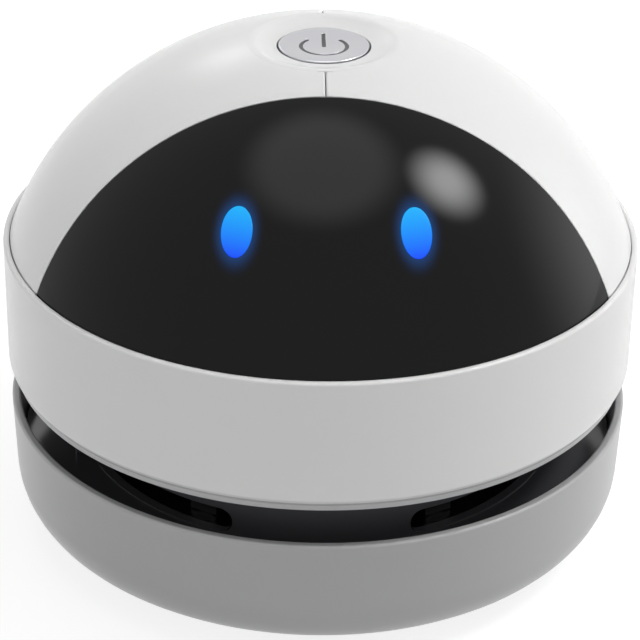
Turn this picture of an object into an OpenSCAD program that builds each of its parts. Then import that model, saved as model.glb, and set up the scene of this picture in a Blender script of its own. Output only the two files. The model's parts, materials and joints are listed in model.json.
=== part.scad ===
// Desktop mini vacuum cleaner: a spherical dome with a black visor and a push
// button on a straight band, over an open exhaust ring and a bayonet dust cup.
// Millimetres, +Z up, front at -Y, origin on the table under the middle.

/* [Overall] */
// Outer diameter of the band, the widest piece
body_d = 88; // [86:0.5:92]
// Height of the rubber feet below the cup
foot_h = 1.2; // [0.8:0.1:2]
// Height of the dust cup from its underside to its rim
cup_h = 18.2; // [18:0.1:22]
// Height of the open ring between the cup and the band
gap_h = 5.2; // [4.6:0.1:8]
// Height of the band
band_h = 19.1; // [18:0.1:22]
// Rise of the spherical dome, from the band's rim to where its top would be
dome_rise = 28.8; // [27.5:0.1:30]

/* [Dust cup] */
// How far the cup's rim stands in from the band
cup_step = 0.2; // [0:0.1:0.6]
// Wall of the cup
cup_wall = 1.2; // [1:0.1:1.6]
// How much the cup narrows from its rim to its bottom round
cup_draft = 0.35; // [0:0.05:0.5]
// Radius of the cup's bottom round
cup_fillet = 8.3; // [7:0.1:9.5]
// Thickness of the cup's floor over the base plate
cup_floor = 1.0; // [0.8:0.1:1.4]
// Radius of the suction inlet
inlet_r = 7.5; // [6:0.5:9]
// Wall of the inlet nozzle
nozzle_wall = 1.2; // [1:0.1:1.6]
// Height of the nozzle above the cup's floor
nozzle_h = 3.6; // [2:0.1:4]
// Number of ribs that hold the filter up
rest_rib_n = 6; // [4:1:8]

/* [Base plate] */
// Bare floor between the base plate and a foot
plate_edge = 1; // [0.6:0.1:2]
// Thickness of the base plate
plate_t = 1.4; // [1.4:0.1:2]
// How far the plate's screws sit in from its edge
plate_screw_in = 2.5; // [2.4:0.1:3]
// Depth of the plate's screw recesses
plate_sink = 0.9; // [0.8:0.05:1]
// Distance of a brush strip from the nozzle's hole
brush_gap = 3.5; // [2.8:0.1:4.8]
// Width of a brush strip's backing
brush_w = 2.8; // [2.4:0.1:3.2]
// Angle that one brush strip spans
brush_span = 96; // [80:2:100]
// Strands along one brush strip
strand_n = 50; // [30:1:55]
// Rows of strands
strand_rows = 3; // [2:1:3]
// Radius of one foot
foot_r = 2.5; // [2:0.1:2.8]
// Flat floor between a foot and the cup's bottom round
foot_edge = 1.15; // [0.6:0.05:1.6]

/* [Filter] */
// Inner radius of the filter's ring
filter_r = 28; // [26:0.5:29]
// Depth of the filter's ring
filter_depth = 2.9; // [2.8:0.1:3]
// Wall of the filter's ring
filter_wall = 1.4; // [1.2:0.1:1.8]
// Pleats of the filter
pleat_n = 16; // [10:1:20]
// Thickness of the pleated paper
pleat_t = 0.5; // [0.4:0.1:0.7]

/* [Fan housing] */
// Outer radius of the fan housing's wall
housing_r = 34; // [33.6:0.1:35]
// Wall of the fan housing
housing_wall = 1.2; // [1:0.1:1.6]
// Thickness of the fan housing's floor
housing_floor = 1.2; // [1.2:0.1:1.6]
// How far the housing's underside lies below the cup's rim
floor_drop = 7.3; // [7:0.1:7.6]
// Radius of the fan's inlet eye
eye_r = 11; // [9:0.5:12]
// Number of exhaust slots
slot_n = 4; // [3:1:6]
// Height of an exhaust slot
slot_h = 3.6; // [3:0.1:4]
// Half of the solid land between two slots, in degrees
slot_land = 20.5; // [12:0.5:24]
// Radial room between a bayonet lug and the cup's wall
lug_gap = 1; // [0.8:0.1:1.4]
// Wall of the bayonet skirt
skirt_wall = 1.2; // [1:0.1:1.4]
// How far the skirt reaches below the housing's floor
skirt_h = 4.1; // [4:0.1:4.4]
// How far a bayonet lug stands out
lug_out = 1.4; // [1.2:0.1:1.5]
// Thickness of a bayonet lug
lug_t = 1.2; // [1:0.1:1.3]
// Thickness of a bayonet tab in the cup
tab_t = 1.4; // [1.2:0.1:1.5]
// Angle that the cup turns from open to locked
twist = 30; // [20:1:36]
// Thickness of the ribs beside the exhaust slots
fin_t = 0.6; // [0.5:0.05:1]
// How far these ribs stand out from the housing's wall
fin_out = 2; // [1:0.1:2]

/* [Fan and motor] */
// Radius of the impeller
fan_r = 26; // [24:0.5:27]
// Number of blades
blade_n = 11; // [7:1:13]
// Thickness of a blade
blade_t = 0.9; // [0.7:0.1:1.2]
// Height of the blades
blade_h = 5.6; // [4:0.1:6]
// Radius that a blade is curved to
blade_curve = 20; // [18:0.5:26]
// Radius of the motor's can
motor_r = 12.2; // [10:0.1:13]
// Room between the motor's terminals and the control board
motor_room = 2.1; // [1:0.1:6]
// Radius of the motor's shaft
shaft_r = 1; // [0.8:0.05:1.2]
// Thickness of the motor deck
deck_t = 1.6; // [1.4:0.1:2]

/* [Battery and socket] */
// Radius of the battery cell
cell_r = 7; // [6:0.1:7.2]
// Room between the cell's ends and the band
cell_gap = 2.2; // [2:0.1:5]
// Room between the cell and the motor's collar
cell_room = 3.8; // [3.4:0.1:4.2]
// Height of the charge socket above the deck
socket_rise = 7.1; // [6:0.1:9]
// Width of the charge socket
socket_w = 8.94; // [8:0.02:9]
// Height of the charge socket's mouth
socket_t = 3.16; // [3:0.02:3.3]

/* [Band] */
// Wall of the band
band_wall = 1.6; // [1.4:0.1:2]
// Width of the lip round the dome
lip_w = 0.74; // [0.6:0.02:1]
// Depth of the lip's inner step
lip_depth = 1.9; // [1.6:0.1:2.4]
// Inward size of the chamfer at the band's foot
chamfer_in = 0.4; // [0.3:0.05:0.8]
// Height of the band's foot up to the chamfer's top
chamfer_h = 1.8; // [1.2:0.1:2.4]
// Height of the upright strip below the chamfer
chamfer_foot = 0.7; // [0.4:0.1:0.9]

/* [Dome and visor] */
// Thickness of the dome's shell
shell_t = 1.6; // [1.4:0.1:1.8]
// Gap between the dome and the band's lip
rim_gap = 0.2; // [0.15:0.05:0.4]
// Width of the seam between the dome's halves
seam_w = 0.3; // [0.2:0.05:0.5]
// Distance of the visor's upper edge from the middle, at the band's rim
visor_back = 20.6; // [19.5:0.1:21.5]
// Lean of the visor's cut from upright, in degrees
visor_tilt = 11.4; // [9:0.2:12]
// Width of a light window
eye_w = 4.1; // [3:0.1:5]
// Height of a light window
eye_h = 6.9; // [5:0.1:8]
// Angle of a light window from the front
eye_angle = 19.85; // [19:0.05:21]
// Height of the light windows above the band's rim
eye_rise = 14.75; // [14:0.05:15.4]

/* [Crown and button] */
// Radius of the dished crown
crown_r = 10.3; // [9.8:0.1:10.6]
// Depth of the crown's dish
dish_depth = 0.9; // [0.6:0.1:1.1]
// Radius of the power button
button_r = 6.33; // [6:0.01:6.6]
// Dark ring gap between the button and the crown
button_gap = 0.4; // [0.3:0.05:0.6]
// How far the button goes down
button_travel = 0.8; // [0.5:0.1:0.9]
// Height of the button's top over the lowest line of the dish
button_proud = 0.6; // [0.4:0.1:0.8]

/* [Boards and screws] */
// Thickness of a circuit board
board_t = 1.6; // [1.2:0.1:1.8]
// Radius of the control board
board_r = 17.5; // [17:0.1:17.7]
// Radius of a small screw's shank
screw_r = 1; // [0.8:0.05:1.1]
// Radius of a small screw's head
head_r = 2; // [1.8:0.05:2.1]
// Height of a small screw's head
head_h = 1.3; // [1:0.1:1.4]
// Length of a screw's cross recess
recess_l = 2.2; // [1.8:0.1:2.6]
// Width of a screw's cross recess
recess_w = 0.5; // [0.4:0.05:0.6]
// Depth of a screw's cross recess
recess_t = 0.6; // [0.4:0.05:0.7]

/* [Clearances] */
// Clearance between pieces that fit together
fit = 0.1; // [0.05:0.05:0.15]
// Clearance between pieces that pass each other
run = 0.3; // [0.3:0.05:0.4]
// Running clearance of the shaft and the switch plunger
bearing = 0.05; // [0.03:0.01:0.08]

/* [Hidden] */
$fn = 72;
far = 200;

// Levels from the table up
body_r = body_d / 2;
cup_z = foot_h;
rim_z = cup_z + cup_h;
band_z = rim_z + gap_h;
band_top = band_z + band_h;
ledge_z = band_top - lip_depth;
plate_top = cup_z + plate_t;
floor_z = plate_top + cup_floor;
nozzle_top = floor_z + nozzle_h;
housing_z = rim_z - floor_drop;
housing_floor_top = housing_z + housing_floor;
filter_top = housing_z - fit;
filter_z = filter_top - filter_depth;
skirt_z = housing_z - skirt_h;
lug_lift = 0.2;
lug_z = skirt_z + lug_lift;
tab_z = lug_z + lug_t + run;
deck_rise = 0.2;
deck_z = band_z + deck_rise;
deck_top = deck_z + deck_t;

// Dome: the sphere that passes through the rim's circle and rises dome_rise above it
dome_edge_r = body_r - lip_w - rim_gap;
dome_r = (pow(dome_edge_r, 2) + pow(dome_rise, 2)) / (2 * dome_rise);
dome_z = band_top + dome_rise - dome_r;
dome_in_r = dome_r - shell_t;
dome_edge_in = dome_edge_r - shell_t;
tongue_r = dome_in_r - fit;
tongue_t = 1.1;
tongue_reach = 2.5;
tongue_lap = 2;
visor_in_r = tongue_r - fit;
band_in = body_r - band_wall;

// Snap tabs that hold the dome in the band
tab_drop = 5;
tab_wall = 1.1;
tab_root = 1.2;
tab_sweep = 13;
snap_r = band_in - 2 * fit;
snap_in = 0.9;
snap_z = ledge_z - 4.2;
snap_h = 1.8;
snap_span = 6;
dome_snap_angles = [20, 62];
visor_snap_angles = [-60, -120];
weld = 0.4;
bed = 0.2;

// Crown and button
crown_edge_z = dome_z + sqrt(pow(dome_r, 2) - pow(crown_r + fit, 2));
dish_z = crown_edge_z - dish_depth;
button_hole_r = button_r + button_gap;
dish_run = crown_r - button_hole_r;
dish_curve = (pow(dish_run, 2) + pow(dish_depth, 2)) / (2 * dish_depth);
collar_wall = 1.2;
collar_h = 5.8;
collar_z = dish_z - collar_h;
crown_web = 5;
crown_sink = 1.6;
button_z = dish_z + button_proud;
button_flange_t = 1.2;
button_flange_out = 0.9;
button_flange_r = button_hole_r + button_flange_out;
button_rest = 0.2;
button_foot_z = collar_z - button_rest;
button_wall = 1;
button_top_t = 1.2;
crown_flange_out = 2.5;
crown_flange_r = crown_r + crown_flange_out;

// Switch and control board, hung under the dome on four bosses
plunger_r = 1.75;
plunger_h = 1.4;
plunger_in = 0.4;
stem_drop = 0.6;
stem_end_z = button_foot_z - stem_drop;
switch_w = 6;
switch_h = 3.3;
switch_top = stem_end_z - plunger_h;
board_top = switch_top - switch_h;
board_z = board_top - board_t;
boss_r = 2;
boss_x = 12;
boss_y = 9.8;
screw_l = 5.5;
chip_w = 5;
chip_t = 1.2;
chip_bed = 0.1;

// Light windows and their lamps
eye_z = band_top + eye_rise;
eye_ring_r = sqrt(pow(dome_r, 2) - pow(eye_z - dome_z, 2));
eye_lean = 90 - asin((eye_z - dome_z) / dome_r);
eye_x = eye_ring_r * sin(eye_angle);
window_flange = 0.8;
column_in = 8;
oval_sides = 36;
lamp_r = 1.5;
lamp_l = 5.3;
led_depth = 10.3;
led_board_y = led_depth - eye_ring_r * cos(eye_angle);
led_board_t = 1.2;
led_board_w = 28;
led_board_top = 3;
led_board_drop = 4;
led_boss_x = 4;
led_boss_r = 1.8;

// Fan, motor and screw posts
post_angles = [5, 175, -60, -120];
post_r = 2.6;
post_circle_r = housing_r - housing_wall - post_r - fit;
post_h = 11.6;
post_web_t = 1.6;
post_web_drop = 3;
case_screw_in = 9.6;
fan_gap = 0.6;
fan_z = housing_floor_top + fan_gap;
fan_plate_t = 1.2;
fin_angles = [72, 84];
fin_sink = 0.35;
fan_plate_z = fan_z + blade_h;
blade_in_r = 8;
blade_lean = 5;
blade_inset = 0.4;
hub_r = 3.6;
hub_top = fan_plate_z + fan_plate_t + 1.6;
shaft_z = fan_z + 0.7;
motor_z = deck_top;
cap_h = 3;
terminal_h = 2;
terminal_x = 5;
terminal_w = 2.4;
terminal_t = 0.8;
motor_top = board_z - motor_room - terminal_h - cap_h;
collar_t = 1.4;
collar_rise = 6;
motor_boss_r = 3;
motor_boss_z = deck_z - 0.8;
motor_screw_x = 8;
motor_screw_in = 2.4;
shaft_top = motor_top - 2;
housing_boss_h = 4;
slot_rise = 0.2;
grille_rim = 1;
grille_bar = 0.8;
grille_spokes = 6;

// Battery, socket and their carriers
cell_bed = 0.6;
cell_tip = 1;
cell_tip_r = 2.6;
cell_z = deck_top + cell_bed + cell_r;
cell_y = motor_r + fit + collar_t + cell_room + cell_r;
cell_l = 2 * sqrt(pow(band_in - cell_gap, 2) - pow(cell_y + cell_r, 2));
cradle_x = 0.3 * cell_l;
cradle_t = 3;
cradle_wall = 1.5;
cradle_rise = 2.2;
socket_z = deck_top + socket_rise;
socket_l = 7.3;
socket_in = 0.6;
socket_y = body_r - socket_in - socket_l;
socket_wall = 0.3;
socket_blade_w = 6.6;
socket_blade_t = 0.7;
charge_board_t = 1.2;
charge_board_z = socket_z - socket_t / 2 - charge_board_t;
charge_board_w = 14;
charge_board_y = cell_y + cell_r + cradle_wall;
charge_board_gap = 0.4;
charge_board_l = sqrt(pow(band_in, 2) - pow(charge_board_w / 2, 2)) - charge_board_gap - charge_board_y;
charge_post_x = 5.5;
charge_post_t = 1.6;

wire_r = 0.6;

// Cup
cup_r = body_r - cup_step;
cup_low_r = cup_r - cup_draft;
cup_in_r = cup_r - cup_wall;
turn_r = cup_low_r - cup_fillet;
turn_z = cup_z + cup_fillet;
foot_circle_r = turn_r - foot_edge - foot_r;
plate_r = foot_circle_r - foot_r - plate_edge;
plate_screw_r = plate_r - plate_screw_in;
plate_lap = 2;
floor_hole_r = plate_r - plate_lap;
lug_r = cup_in_r - lug_gap;
skirt_r = lug_r - lug_out;
flange_gap = 0.5;
flange_r = cup_in_r - cup_draft / 2 - flange_gap;
seal_depth = 0.7;
seal_t = 0.8;
seal_proud = 0.12;
filter_rim_t = 1.2;
filter_bar_w = 1.2;
filter_bar_t = 0.8;
filter_hub_r = 6;
nozzle_r = inlet_r + nozzle_wall;
nozzle_rim = 1.2;
nozzle_rim_t = 0.6;
brush_r = nozzle_r + fit + brush_gap + brush_w / 2;
rest_rib_t = 1.2;
rest_rib_in = 0.6;
rest_rib_out = 0.25;
bayonet_n = 3;
lug_span = 36;
tab_span = 24;
tab_gap = 2;
tab_rest = -(lug_span + tab_span) / 2 - tab_gap;
stop_span = 2.5;
stop_at = tab_rest + twist + tab_span / 2 + stop_span;
key_w = 2.4;
key_out = 1;
key_lift = 0.6;
brush_back_t = 1;
strand_r = 0.15;
strand_tip = 0.2;
strand_row_gap = 0.55;
strand_inset = 4;
foot_seat = 0.4;
plate_screw_angles = [30, 150, 270];
foot_angles = [45, 135, 225, 315];
base_screw_l = 3.2;
base_head_h = 0.8;
plate_boss_wall = 1.1;
plate_boss_h = 2.8;

// A tube standing on z0
module tube(r_out, r_in, z0, z1) {
    translate([0, 0, z0])
        difference() {
            cylinder(r = r_out, h = z1 - z0);
            translate([0, 0, -1]) cylinder(r = r_in, h = z1 - z0 + 2);
        }
}

// A plain disc or rod standing on z0
module rod(r, z0, z1) {
    translate([0, 0, z0]) cylinder(r = r, h = z1 - z0);
}

// A stretch of a ring, centred on the angle mid, measured from +X
module ring_part(r_in, r_out, z0, z1, mid, span) {
    rotate([0, 0, mid - span / 2])
        rotate_extrude(angle = span)
            translate([r_in, z0]) square([r_out - r_in, z1 - z0]);
}

// Copies at each angle, moved out by r
module around(angles, r) {
    for (a = angles) rotate([0, 0, a]) translate([r, 0, 0]) children();
}

// Everything in front of the visor's leaning cut, moved back by shift
module visor_space(shift) {
    translate([0, -visor_back, band_top])
        rotate([-visor_tilt, 0, 0])
            translate([-far, shift - 2 * far, -far]) cube([2 * far, 2 * far, 2 * far]);
}

// The dome's solid form: a sphere of radius r inside a cylinder of radius edge
module dome_form(r, edge) {
    intersection() {
        translate([0, 0, dome_z]) sphere(r = r, $fn = 144);
        rod(edge, ledge_z - 1, dome_z + dome_r + 1);
    }
}

// The dome's shell from outer to inner radius, above the band's ledge
module dome_skin(r_out, edge_out, r_in, edge_in) {
    intersection() {
        difference() {
            dome_form(r_out, edge_out);
            dome_form(r_in, edge_in);
        }
        translate([-far, -far, ledge_z]) cube([2 * far, 2 * far, far]);
    }
}

// A snap tab with a window, hanging inside the band at an angle from +X
module snap_tab(a) {
    difference() {
        ring_part(snap_r - tab_wall, snap_r, ledge_z - tab_drop, ledge_z + tab_root, a, tab_sweep);
        ring_part(snap_r - 3 * tab_wall, band_in + 1, snap_z - run, snap_z + snap_h + run, a, snap_span + 1);
    }
}

module band() {
    color("whitesmoke")
    difference() {
        union() {
            rotate_extrude()
                polygon([
                    [band_in, band_z],
                    [body_r - chamfer_in, band_z],
                    [body_r - chamfer_in, band_z + chamfer_foot],
                    [body_r, band_z + chamfer_h],
                    [body_r, band_top],
                    [body_r - lip_w, band_top],
                    [body_r - lip_w, ledge_z],
                    [band_in, ledge_z]
                ]);
            around(post_angles, post_circle_r) rod(post_r, deck_top, deck_top + post_h);
            around(post_angles, post_circle_r)
                translate([0, -post_web_t / 2, deck_top + 1])
                    cube([band_in + weld - post_circle_r, post_web_t, post_h - post_web_drop]);
            for (a = concat(dome_snap_angles, [for (b = dome_snap_angles) 180 - b], visor_snap_angles))
                ring_part(band_in - snap_in, band_in + weld, snap_z, snap_z + snap_h, a, snap_span);
        }
        around(post_angles, post_circle_r)
            rod(screw_r + bearing, deck_top - 1, deck_top + case_screw_in);
        translate([0, body_r - 2 * band_wall, socket_z])
            rotate([-90, 0, 0])
                linear_extrude(3 * band_wall) stadium(socket_w + 2 * run, socket_t + 2 * run);
    }
}

// A flat oblong with round ends
module stadium(w, h) {
    union() {
        square([w - h, h], center = true);
        for (s = [-1, 1]) translate([s * (w - h) / 2, 0]) circle(r = h / 2);
    }
}

// The dome without its seam: shell less the crown's hole and the visor
module dome_body() {
    difference() {
        dome_skin(dome_r, dome_edge_r, dome_in_r, dome_edge_in);
        rod(crown_r + fit, dome_z, dome_z + dome_r + 1);
        visor_space(0);
    }
}

// Bosses under one half for the control board
module board_bosses(side) {
    difference() {
        intersection() {
            translate([0, 0, dome_z]) sphere(r = dome_r - shell_t / 2, $fn = 144);
            for (s = [-1, 1])
                translate([side * boss_x, s * boss_y, 0]) rod(boss_r, board_top, dome_z + dome_r);
        }
        for (s = [-1, 1])
            translate([side * boss_x, s * boss_y, 0])
                rod(screw_r + bearing, board_top - 1, board_top + screw_l);
    }
}

// Keeps one side of the seam; side is -1 for left and 1 for right
module half_space(side, gap) {
    translate([side > 0 ? gap : -far - gap, -far, -far]) cube([far, 2 * far, 2 * far]);
}

// Strip inside the left half that closes the seam from behind
module seam_tongue() {
    difference() {
        union() {
            intersection() {
                dome_skin(
                    dome_in_r + run,
                    dome_edge_in + run,
                    tongue_r - tongue_t,
                    dome_edge_in - fit - tongue_t
                );
                translate([-tongue_reach, 0, 0]) cube([tongue_reach - seam_w, far, far]);
            }
            intersection() {
                dome_skin(tongue_r, dome_edge_in - fit, tongue_r - tongue_t, dome_edge_in - fit - tongue_t);
                translate([-1, 0, 0]) cube([tongue_lap + 1, far, far]);
            }
        }
        rod(crown_flange_r + fit, dome_z, dome_z + dome_r + 1);
    }
}

module dome_left() {
    color("white") {
        intersection() {
            dome_body();
            half_space(-1, seam_w / 2);
        }
        board_bosses(-1);
        seam_tongue();
        for (a = dome_snap_angles) snap_tab(180 - a);
    }
}

module dome_right() {
    color("white") {
        intersection() {
            dome_body();
            half_space(1, seam_w / 2);
        }
        board_bosses(1);
        for (a = dome_snap_angles) snap_tab(a);
    }
}

// Upright ellipse, w wide and h high, for the light windows
module oval(w, h) {
    turns = [for (i = [0 : oval_sides - 1]) i * 360 / oval_sides];
    polygon([for (a = turns) [w / 2 * cos(a), h / 2 * sin(a)]]);
}

// Puts children on the dome's normal through a light window
module at_eye(side) {
    translate([0, 0, dome_z])
        rotate([0, 0, side * eye_angle])
            rotate([eye_lean, 0, 0]) children();
}

// An oval column through the visor, grown by a clearance
module eye_column(side, grow) {
    at_eye(side)
        translate([0, 0, dome_r - column_in])
            linear_extrude(column_in + 2) oval(eye_w + 2 * grow, eye_h + 2 * grow);
}

module visor() {
    color([0.08, 0.08, 0.09])
    difference() {
        union() {
            intersection() {
                dome_skin(dome_r, dome_edge_r, visor_in_r, dome_edge_in - 2 * fit);
                visor_space(-fit);
            }
            intersection() {
                dome_skin(tongue_r, dome_edge_in - fit, tongue_r - tongue_t, dome_edge_in - fit - tongue_t);
                visor_space(tongue_reach);
                difference() {
                    translate([-far, -far, 0]) cube([2 * far, 2 * far, far]);
                    visor_space(-3);
                }
                difference() {
                    translate([-far, -far, 0]) cube([2 * far, 2 * far, far]);
                    rod(crown_flange_r + fit, dome_z, dome_z + dome_r);
                }
            }
            intersection() {
                translate([0, 0, dome_z]) sphere(r = dome_r - shell_t / 2, $fn = 144);
                for (s = [-1, 1])
                    translate([s * led_boss_x, led_board_y, eye_z])
                        rotate([90, 0, 0]) cylinder(r = led_boss_r, h = body_r);
            }
            for (a = visor_snap_angles) snap_tab(a);
        }
        for (side = [-1, 1]) eye_column(side, fit / 2);
        for (s = [-1, 1])
            translate([s * led_boss_x, led_board_y + 1, eye_z])
                rotate([90, 0, 0]) cylinder(r = screw_r + bearing, h = screw_l + 1);
    }
}

// A light window: a plug through the visor and a flange behind it
module eye_window(side) {
    intersection() {
        eye_column(side, -fit / 2);
        difference() {
            translate([0, 0, dome_z]) sphere(r = dome_r, $fn = 144);
            translate([0, 0, dome_z]) sphere(r = visor_in_r - window_flange, $fn = 144);
        }
    }
    intersection() {
        eye_column(side, window_flange);
        difference() {
            translate([0, 0, dome_z]) sphere(r = visor_in_r - bearing, $fn = 144);
            translate([0, 0, dome_z]) sphere(r = visor_in_r - window_flange, $fn = 144);
        }
    }
}

module eye_window_left() {
    color("dodgerblue") eye_window(-1);
}

module eye_window_right() {
    color("dodgerblue") eye_window(1);
}

module crown() {
    color("white")
    rotate_extrude()
        difference() {
            union() {
                translate([button_hole_r, collar_z]) square([collar_wall, dish_z - collar_z]);
                translate([button_hole_r, dome_z + tongue_r - tongue_t - crown_sink])
                    square([crown_r - button_hole_r, crown_web]);
                intersection() {
                    difference() {
                        translate([0, dome_z]) circle(r = tongue_r, $fn = 144);
                        translate([0, dome_z]) circle(r = tongue_r - tongue_t, $fn = 144);
                    }
                    translate([button_hole_r, dome_z]) square([crown_flange_r - button_hole_r, far]);
                }
            }
            translate([button_hole_r, dish_z + dish_curve]) circle(r = dish_curve, $fn = 144);
            translate([0, crown_edge_z]) square([far, far]);
        }
}

module power_button() {
    color("silver")
    difference() {
        union() {
            rod(button_r, button_foot_z - button_flange_t, button_z);
            rod(button_flange_r, button_foot_z - button_flange_t, button_foot_z);
        }
        difference() {
            rod(button_r - button_wall, button_foot_z - button_flange_t - 1, button_z - button_top_t);
            rod(plunger_r, stem_end_z, button_z);
        }
        rod(button_r - button_wall, button_foot_z - button_flange_t - 1, stem_end_z);
    }
}

module switch_plunger() {
    color("black") rod(plunger_r, switch_top - plunger_in, stem_end_z);
}

module switch_body() {
    color("dimgray")
    difference() {
        translate([-switch_w / 2, -switch_w / 2, board_top]) cube([switch_w, switch_w, switch_h]);
        rod(plunger_r + bearing, switch_top - plunger_in - button_travel - button_rest, switch_top + 1);
    }
}

module control_board() {
    color("seagreen")
    difference() {
        union() {
            rod(board_r, board_z, board_top);
            translate([-chip_w / 2, board_r / 2, board_z - chip_t])
                cube([chip_w, chip_w, chip_t + chip_bed]);
            for (s = [-1, 1])
                translate([s * chip_w - chip_w / 2, -0.7 * board_r, board_top - chip_bed])
                    cube([chip_w, chip_w, chip_t + chip_bed]);
        }
        for (sx = [-1, 1], sy = [-1, 1])
            translate([sx * boss_x, sy * boss_y, 0]) rod(screw_r + fit, board_z - 1, board_top + 1);
    }
}

// A screw with a flat round head of height h and a cross recess, head down at z = 0
module screw(l, h = head_h) {
    difference() {
        union() {
            rod(head_r, 0, h);
            rod(screw_r, h / 2, h + l);
        }
        for (a = [0, 90])
            rotate([0, 0, a])
                translate([-recess_l / 2, -recess_w / 2, -1]) cube([recess_l, recess_w, 1 + recess_t]);
    }
}

module board_screws() {
    color("gray") {
        for (sx = [-1, 1], sy = [-1, 1])
            translate([sx * boss_x, sy * boss_y, board_z - head_h]) screw(board_t + screw_l - 2 * run);
        for (s = [-1, 1])
            translate([s * led_boss_x, led_board_y + led_board_t + head_h, eye_z])
                rotate([90, 0, 0]) screw(led_board_t + screw_l - 1);
    }
}

module led_board() {
    color("seagreen")
    difference() {
        translate([-led_board_w / 2, led_board_y, eye_z - led_board_drop])
            cube([led_board_w, led_board_t, led_board_drop + led_board_top]);
        for (s = [-1, 1])
            translate([s * led_boss_x, led_board_y + led_board_t + 1, eye_z])
                rotate([90, 0, 0]) cylinder(r = screw_r + fit, h = led_board_t + 2);
    }
}

module led_lamps() {
    color("lightcyan")
    for (s = [-1, 1])
        translate([s * eye_x, led_board_y, eye_z]) {
            rotate([90, 0, 0]) cylinder(r = lamp_r, h = lamp_l - lamp_r);
            translate([0, lamp_r - lamp_l, 0]) sphere(r = lamp_r);
        }
}

module battery_cell() {
    color("royalblue")
    translate([-cell_l / 2, cell_y, cell_z]) rotate([0, 90, 0]) {
        cylinder(r = cell_r, h = cell_l - cell_tip);
        cylinder(r = cell_tip_r, h = cell_l);
    }
}

module charge_socket() {
    color("lightgray")
    translate([0, socket_y, socket_z]) rotate([-90, 0, 0]) {
        difference() {
            linear_extrude(socket_l) stadium(socket_w, socket_t);
            translate([0, 0, 1])
                linear_extrude(socket_l) stadium(socket_w - 2 * socket_wall, socket_t - 2 * socket_wall);
        }
        translate([-socket_blade_w / 2, -socket_blade_t / 2, 0.5])
            cube([socket_blade_w, socket_blade_t, socket_l - 1.5]);
    }
}

module charge_board() {
    color("seagreen")
    translate([-charge_board_w / 2, charge_board_y, charge_board_z])
        cube([charge_board_w, charge_board_l, charge_board_t]);
}

// A straight wire from point p to point q
module wire(p, q, r) {
    d = q - p;
    l = norm(d);
    translate(p)
        rotate([0, acos(d[2] / l), atan2(d[1], d[0])]) cylinder(r = r, h = l);
}

module lead_wires() {
    color("firebrick")
    for (s = [-1, 1]) {
        wire(
            [s * (cell_l / 2 - 4), cell_y, cell_z + cell_r + wire_r],
            [s * board_r / 2, 0.7 * board_r, board_z - wire_r],
            wire_r
        );
        translate([s * terminal_x, 0, 0]) rod(wire_r, motor_top + cap_h + terminal_h, board_z);
    }
}

module motor_can() {
    color("silver")
    difference() {
        union() {
            rod(motor_r, motor_z, motor_top);
            rod(motor_boss_r, motor_boss_z, motor_z + 1);
        }
        rod(shaft_r + bearing, motor_boss_z - 1, shaft_top + 0.5);
        for (s = [-1, 1])
            translate([s * motor_screw_x, 0, 0])
                rod(screw_r + bearing, motor_z - 1, motor_z + motor_screw_in + 2 * run);
    }
}

module motor_end_cap() {
    color([0.15, 0.15, 0.16]) {
        rod(motor_r - 0.2, motor_top, motor_top + cap_h);
        for (s = [-1, 1])
            translate([s * terminal_x - terminal_w / 2, -terminal_t / 2, motor_top + cap_h - chip_bed])
                cube([terminal_w, terminal_t, terminal_h + chip_bed]);
    }
}

module motor_screws() {
    color("gray")
    for (s = [-1, 1]) translate([s * motor_screw_x, 0, deck_z - head_h]) screw(deck_t + motor_screw_in);
}

module motor_shaft() {
    color("silver") rod(shaft_r, shaft_z, shaft_top);
}

// One backward-curved blade: an arc that leaves the hub's circle and ends at the rim
module blade_plan() {
    cx = blade_in_r - blade_lean;
    cy = -sqrt(pow(blade_curve, 2) - pow(blade_lean, 2));
    intersection() {
        difference() {
            circle(r = fan_r - blade_inset, $fn = 144);
            circle(r = blade_in_r);
        }
        translate([cx, cy])
            difference() {
                circle(r = blade_curve, $fn = 144);
                circle(r = blade_curve - blade_t, $fn = 144);
            }
        rotate(atan2(cy, cx)) square([far, far]);
    }
}

module impeller() {
    color("gainsboro")
    difference() {
        union() {
            rod(fan_r, fan_plate_z, fan_plate_z + fan_plate_t);
            rod(hub_r, shaft_z + 1, hub_top);
            translate([0, 0, fan_plate_z - 2.8]) cylinder(r1 = hub_r + 0.4, r2 = blade_in_r - 0.8, h = 3);
            for (i = [0 : blade_n - 1])
                rotate([0, 0, i * 360 / blade_n])
                    translate([0, 0, fan_z]) linear_extrude(blade_h + 0.2) blade_plan();
        }
        rod(shaft_r + 0.02, shaft_z - 1, hub_top + 1);
    }
}

module motor_deck() {
    color([0.2, 0.2, 0.21])
    difference() {
        union() {
            rod(band_in - fit, deck_z, deck_top);
            tube(motor_r + fit + collar_t, motor_r + fit, deck_top - bed, deck_top + collar_rise);
            around(post_angles, post_circle_r)
                rod(post_r, housing_floor_top + housing_boss_h, deck_z + bed);
            for (s = [-1, 1]) {
                translate([s * cradle_x - cradle_t / 2, cell_y - cell_r - cradle_wall, deck_top - bed])
                    cube([cradle_t, 2 * (cell_r + cradle_wall), cell_z - deck_top + cradle_rise]);
                translate([s * charge_post_x - charge_post_t / 2, charge_board_y, deck_top - bed])
                    cube([
                        charge_post_t,
                        charge_board_l - 2 * charge_board_gap,
                        charge_board_z - deck_top + bed
                    ]);
            }
        }
        translate([-far, cell_y, cell_z]) rotate([0, 90, 0]) cylinder(r = cell_r + fit, h = 2 * far);
        rod(motor_boss_r + fit, deck_z - 1, deck_top + 1);
        for (s = [-1, 1]) translate([s * motor_screw_x, 0, 0]) rod(screw_r + fit, deck_z - 1, deck_top + 1);
        around(post_angles, post_circle_r) rod(screw_r + fit, housing_floor_top, deck_top + 1);
    }
}

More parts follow.
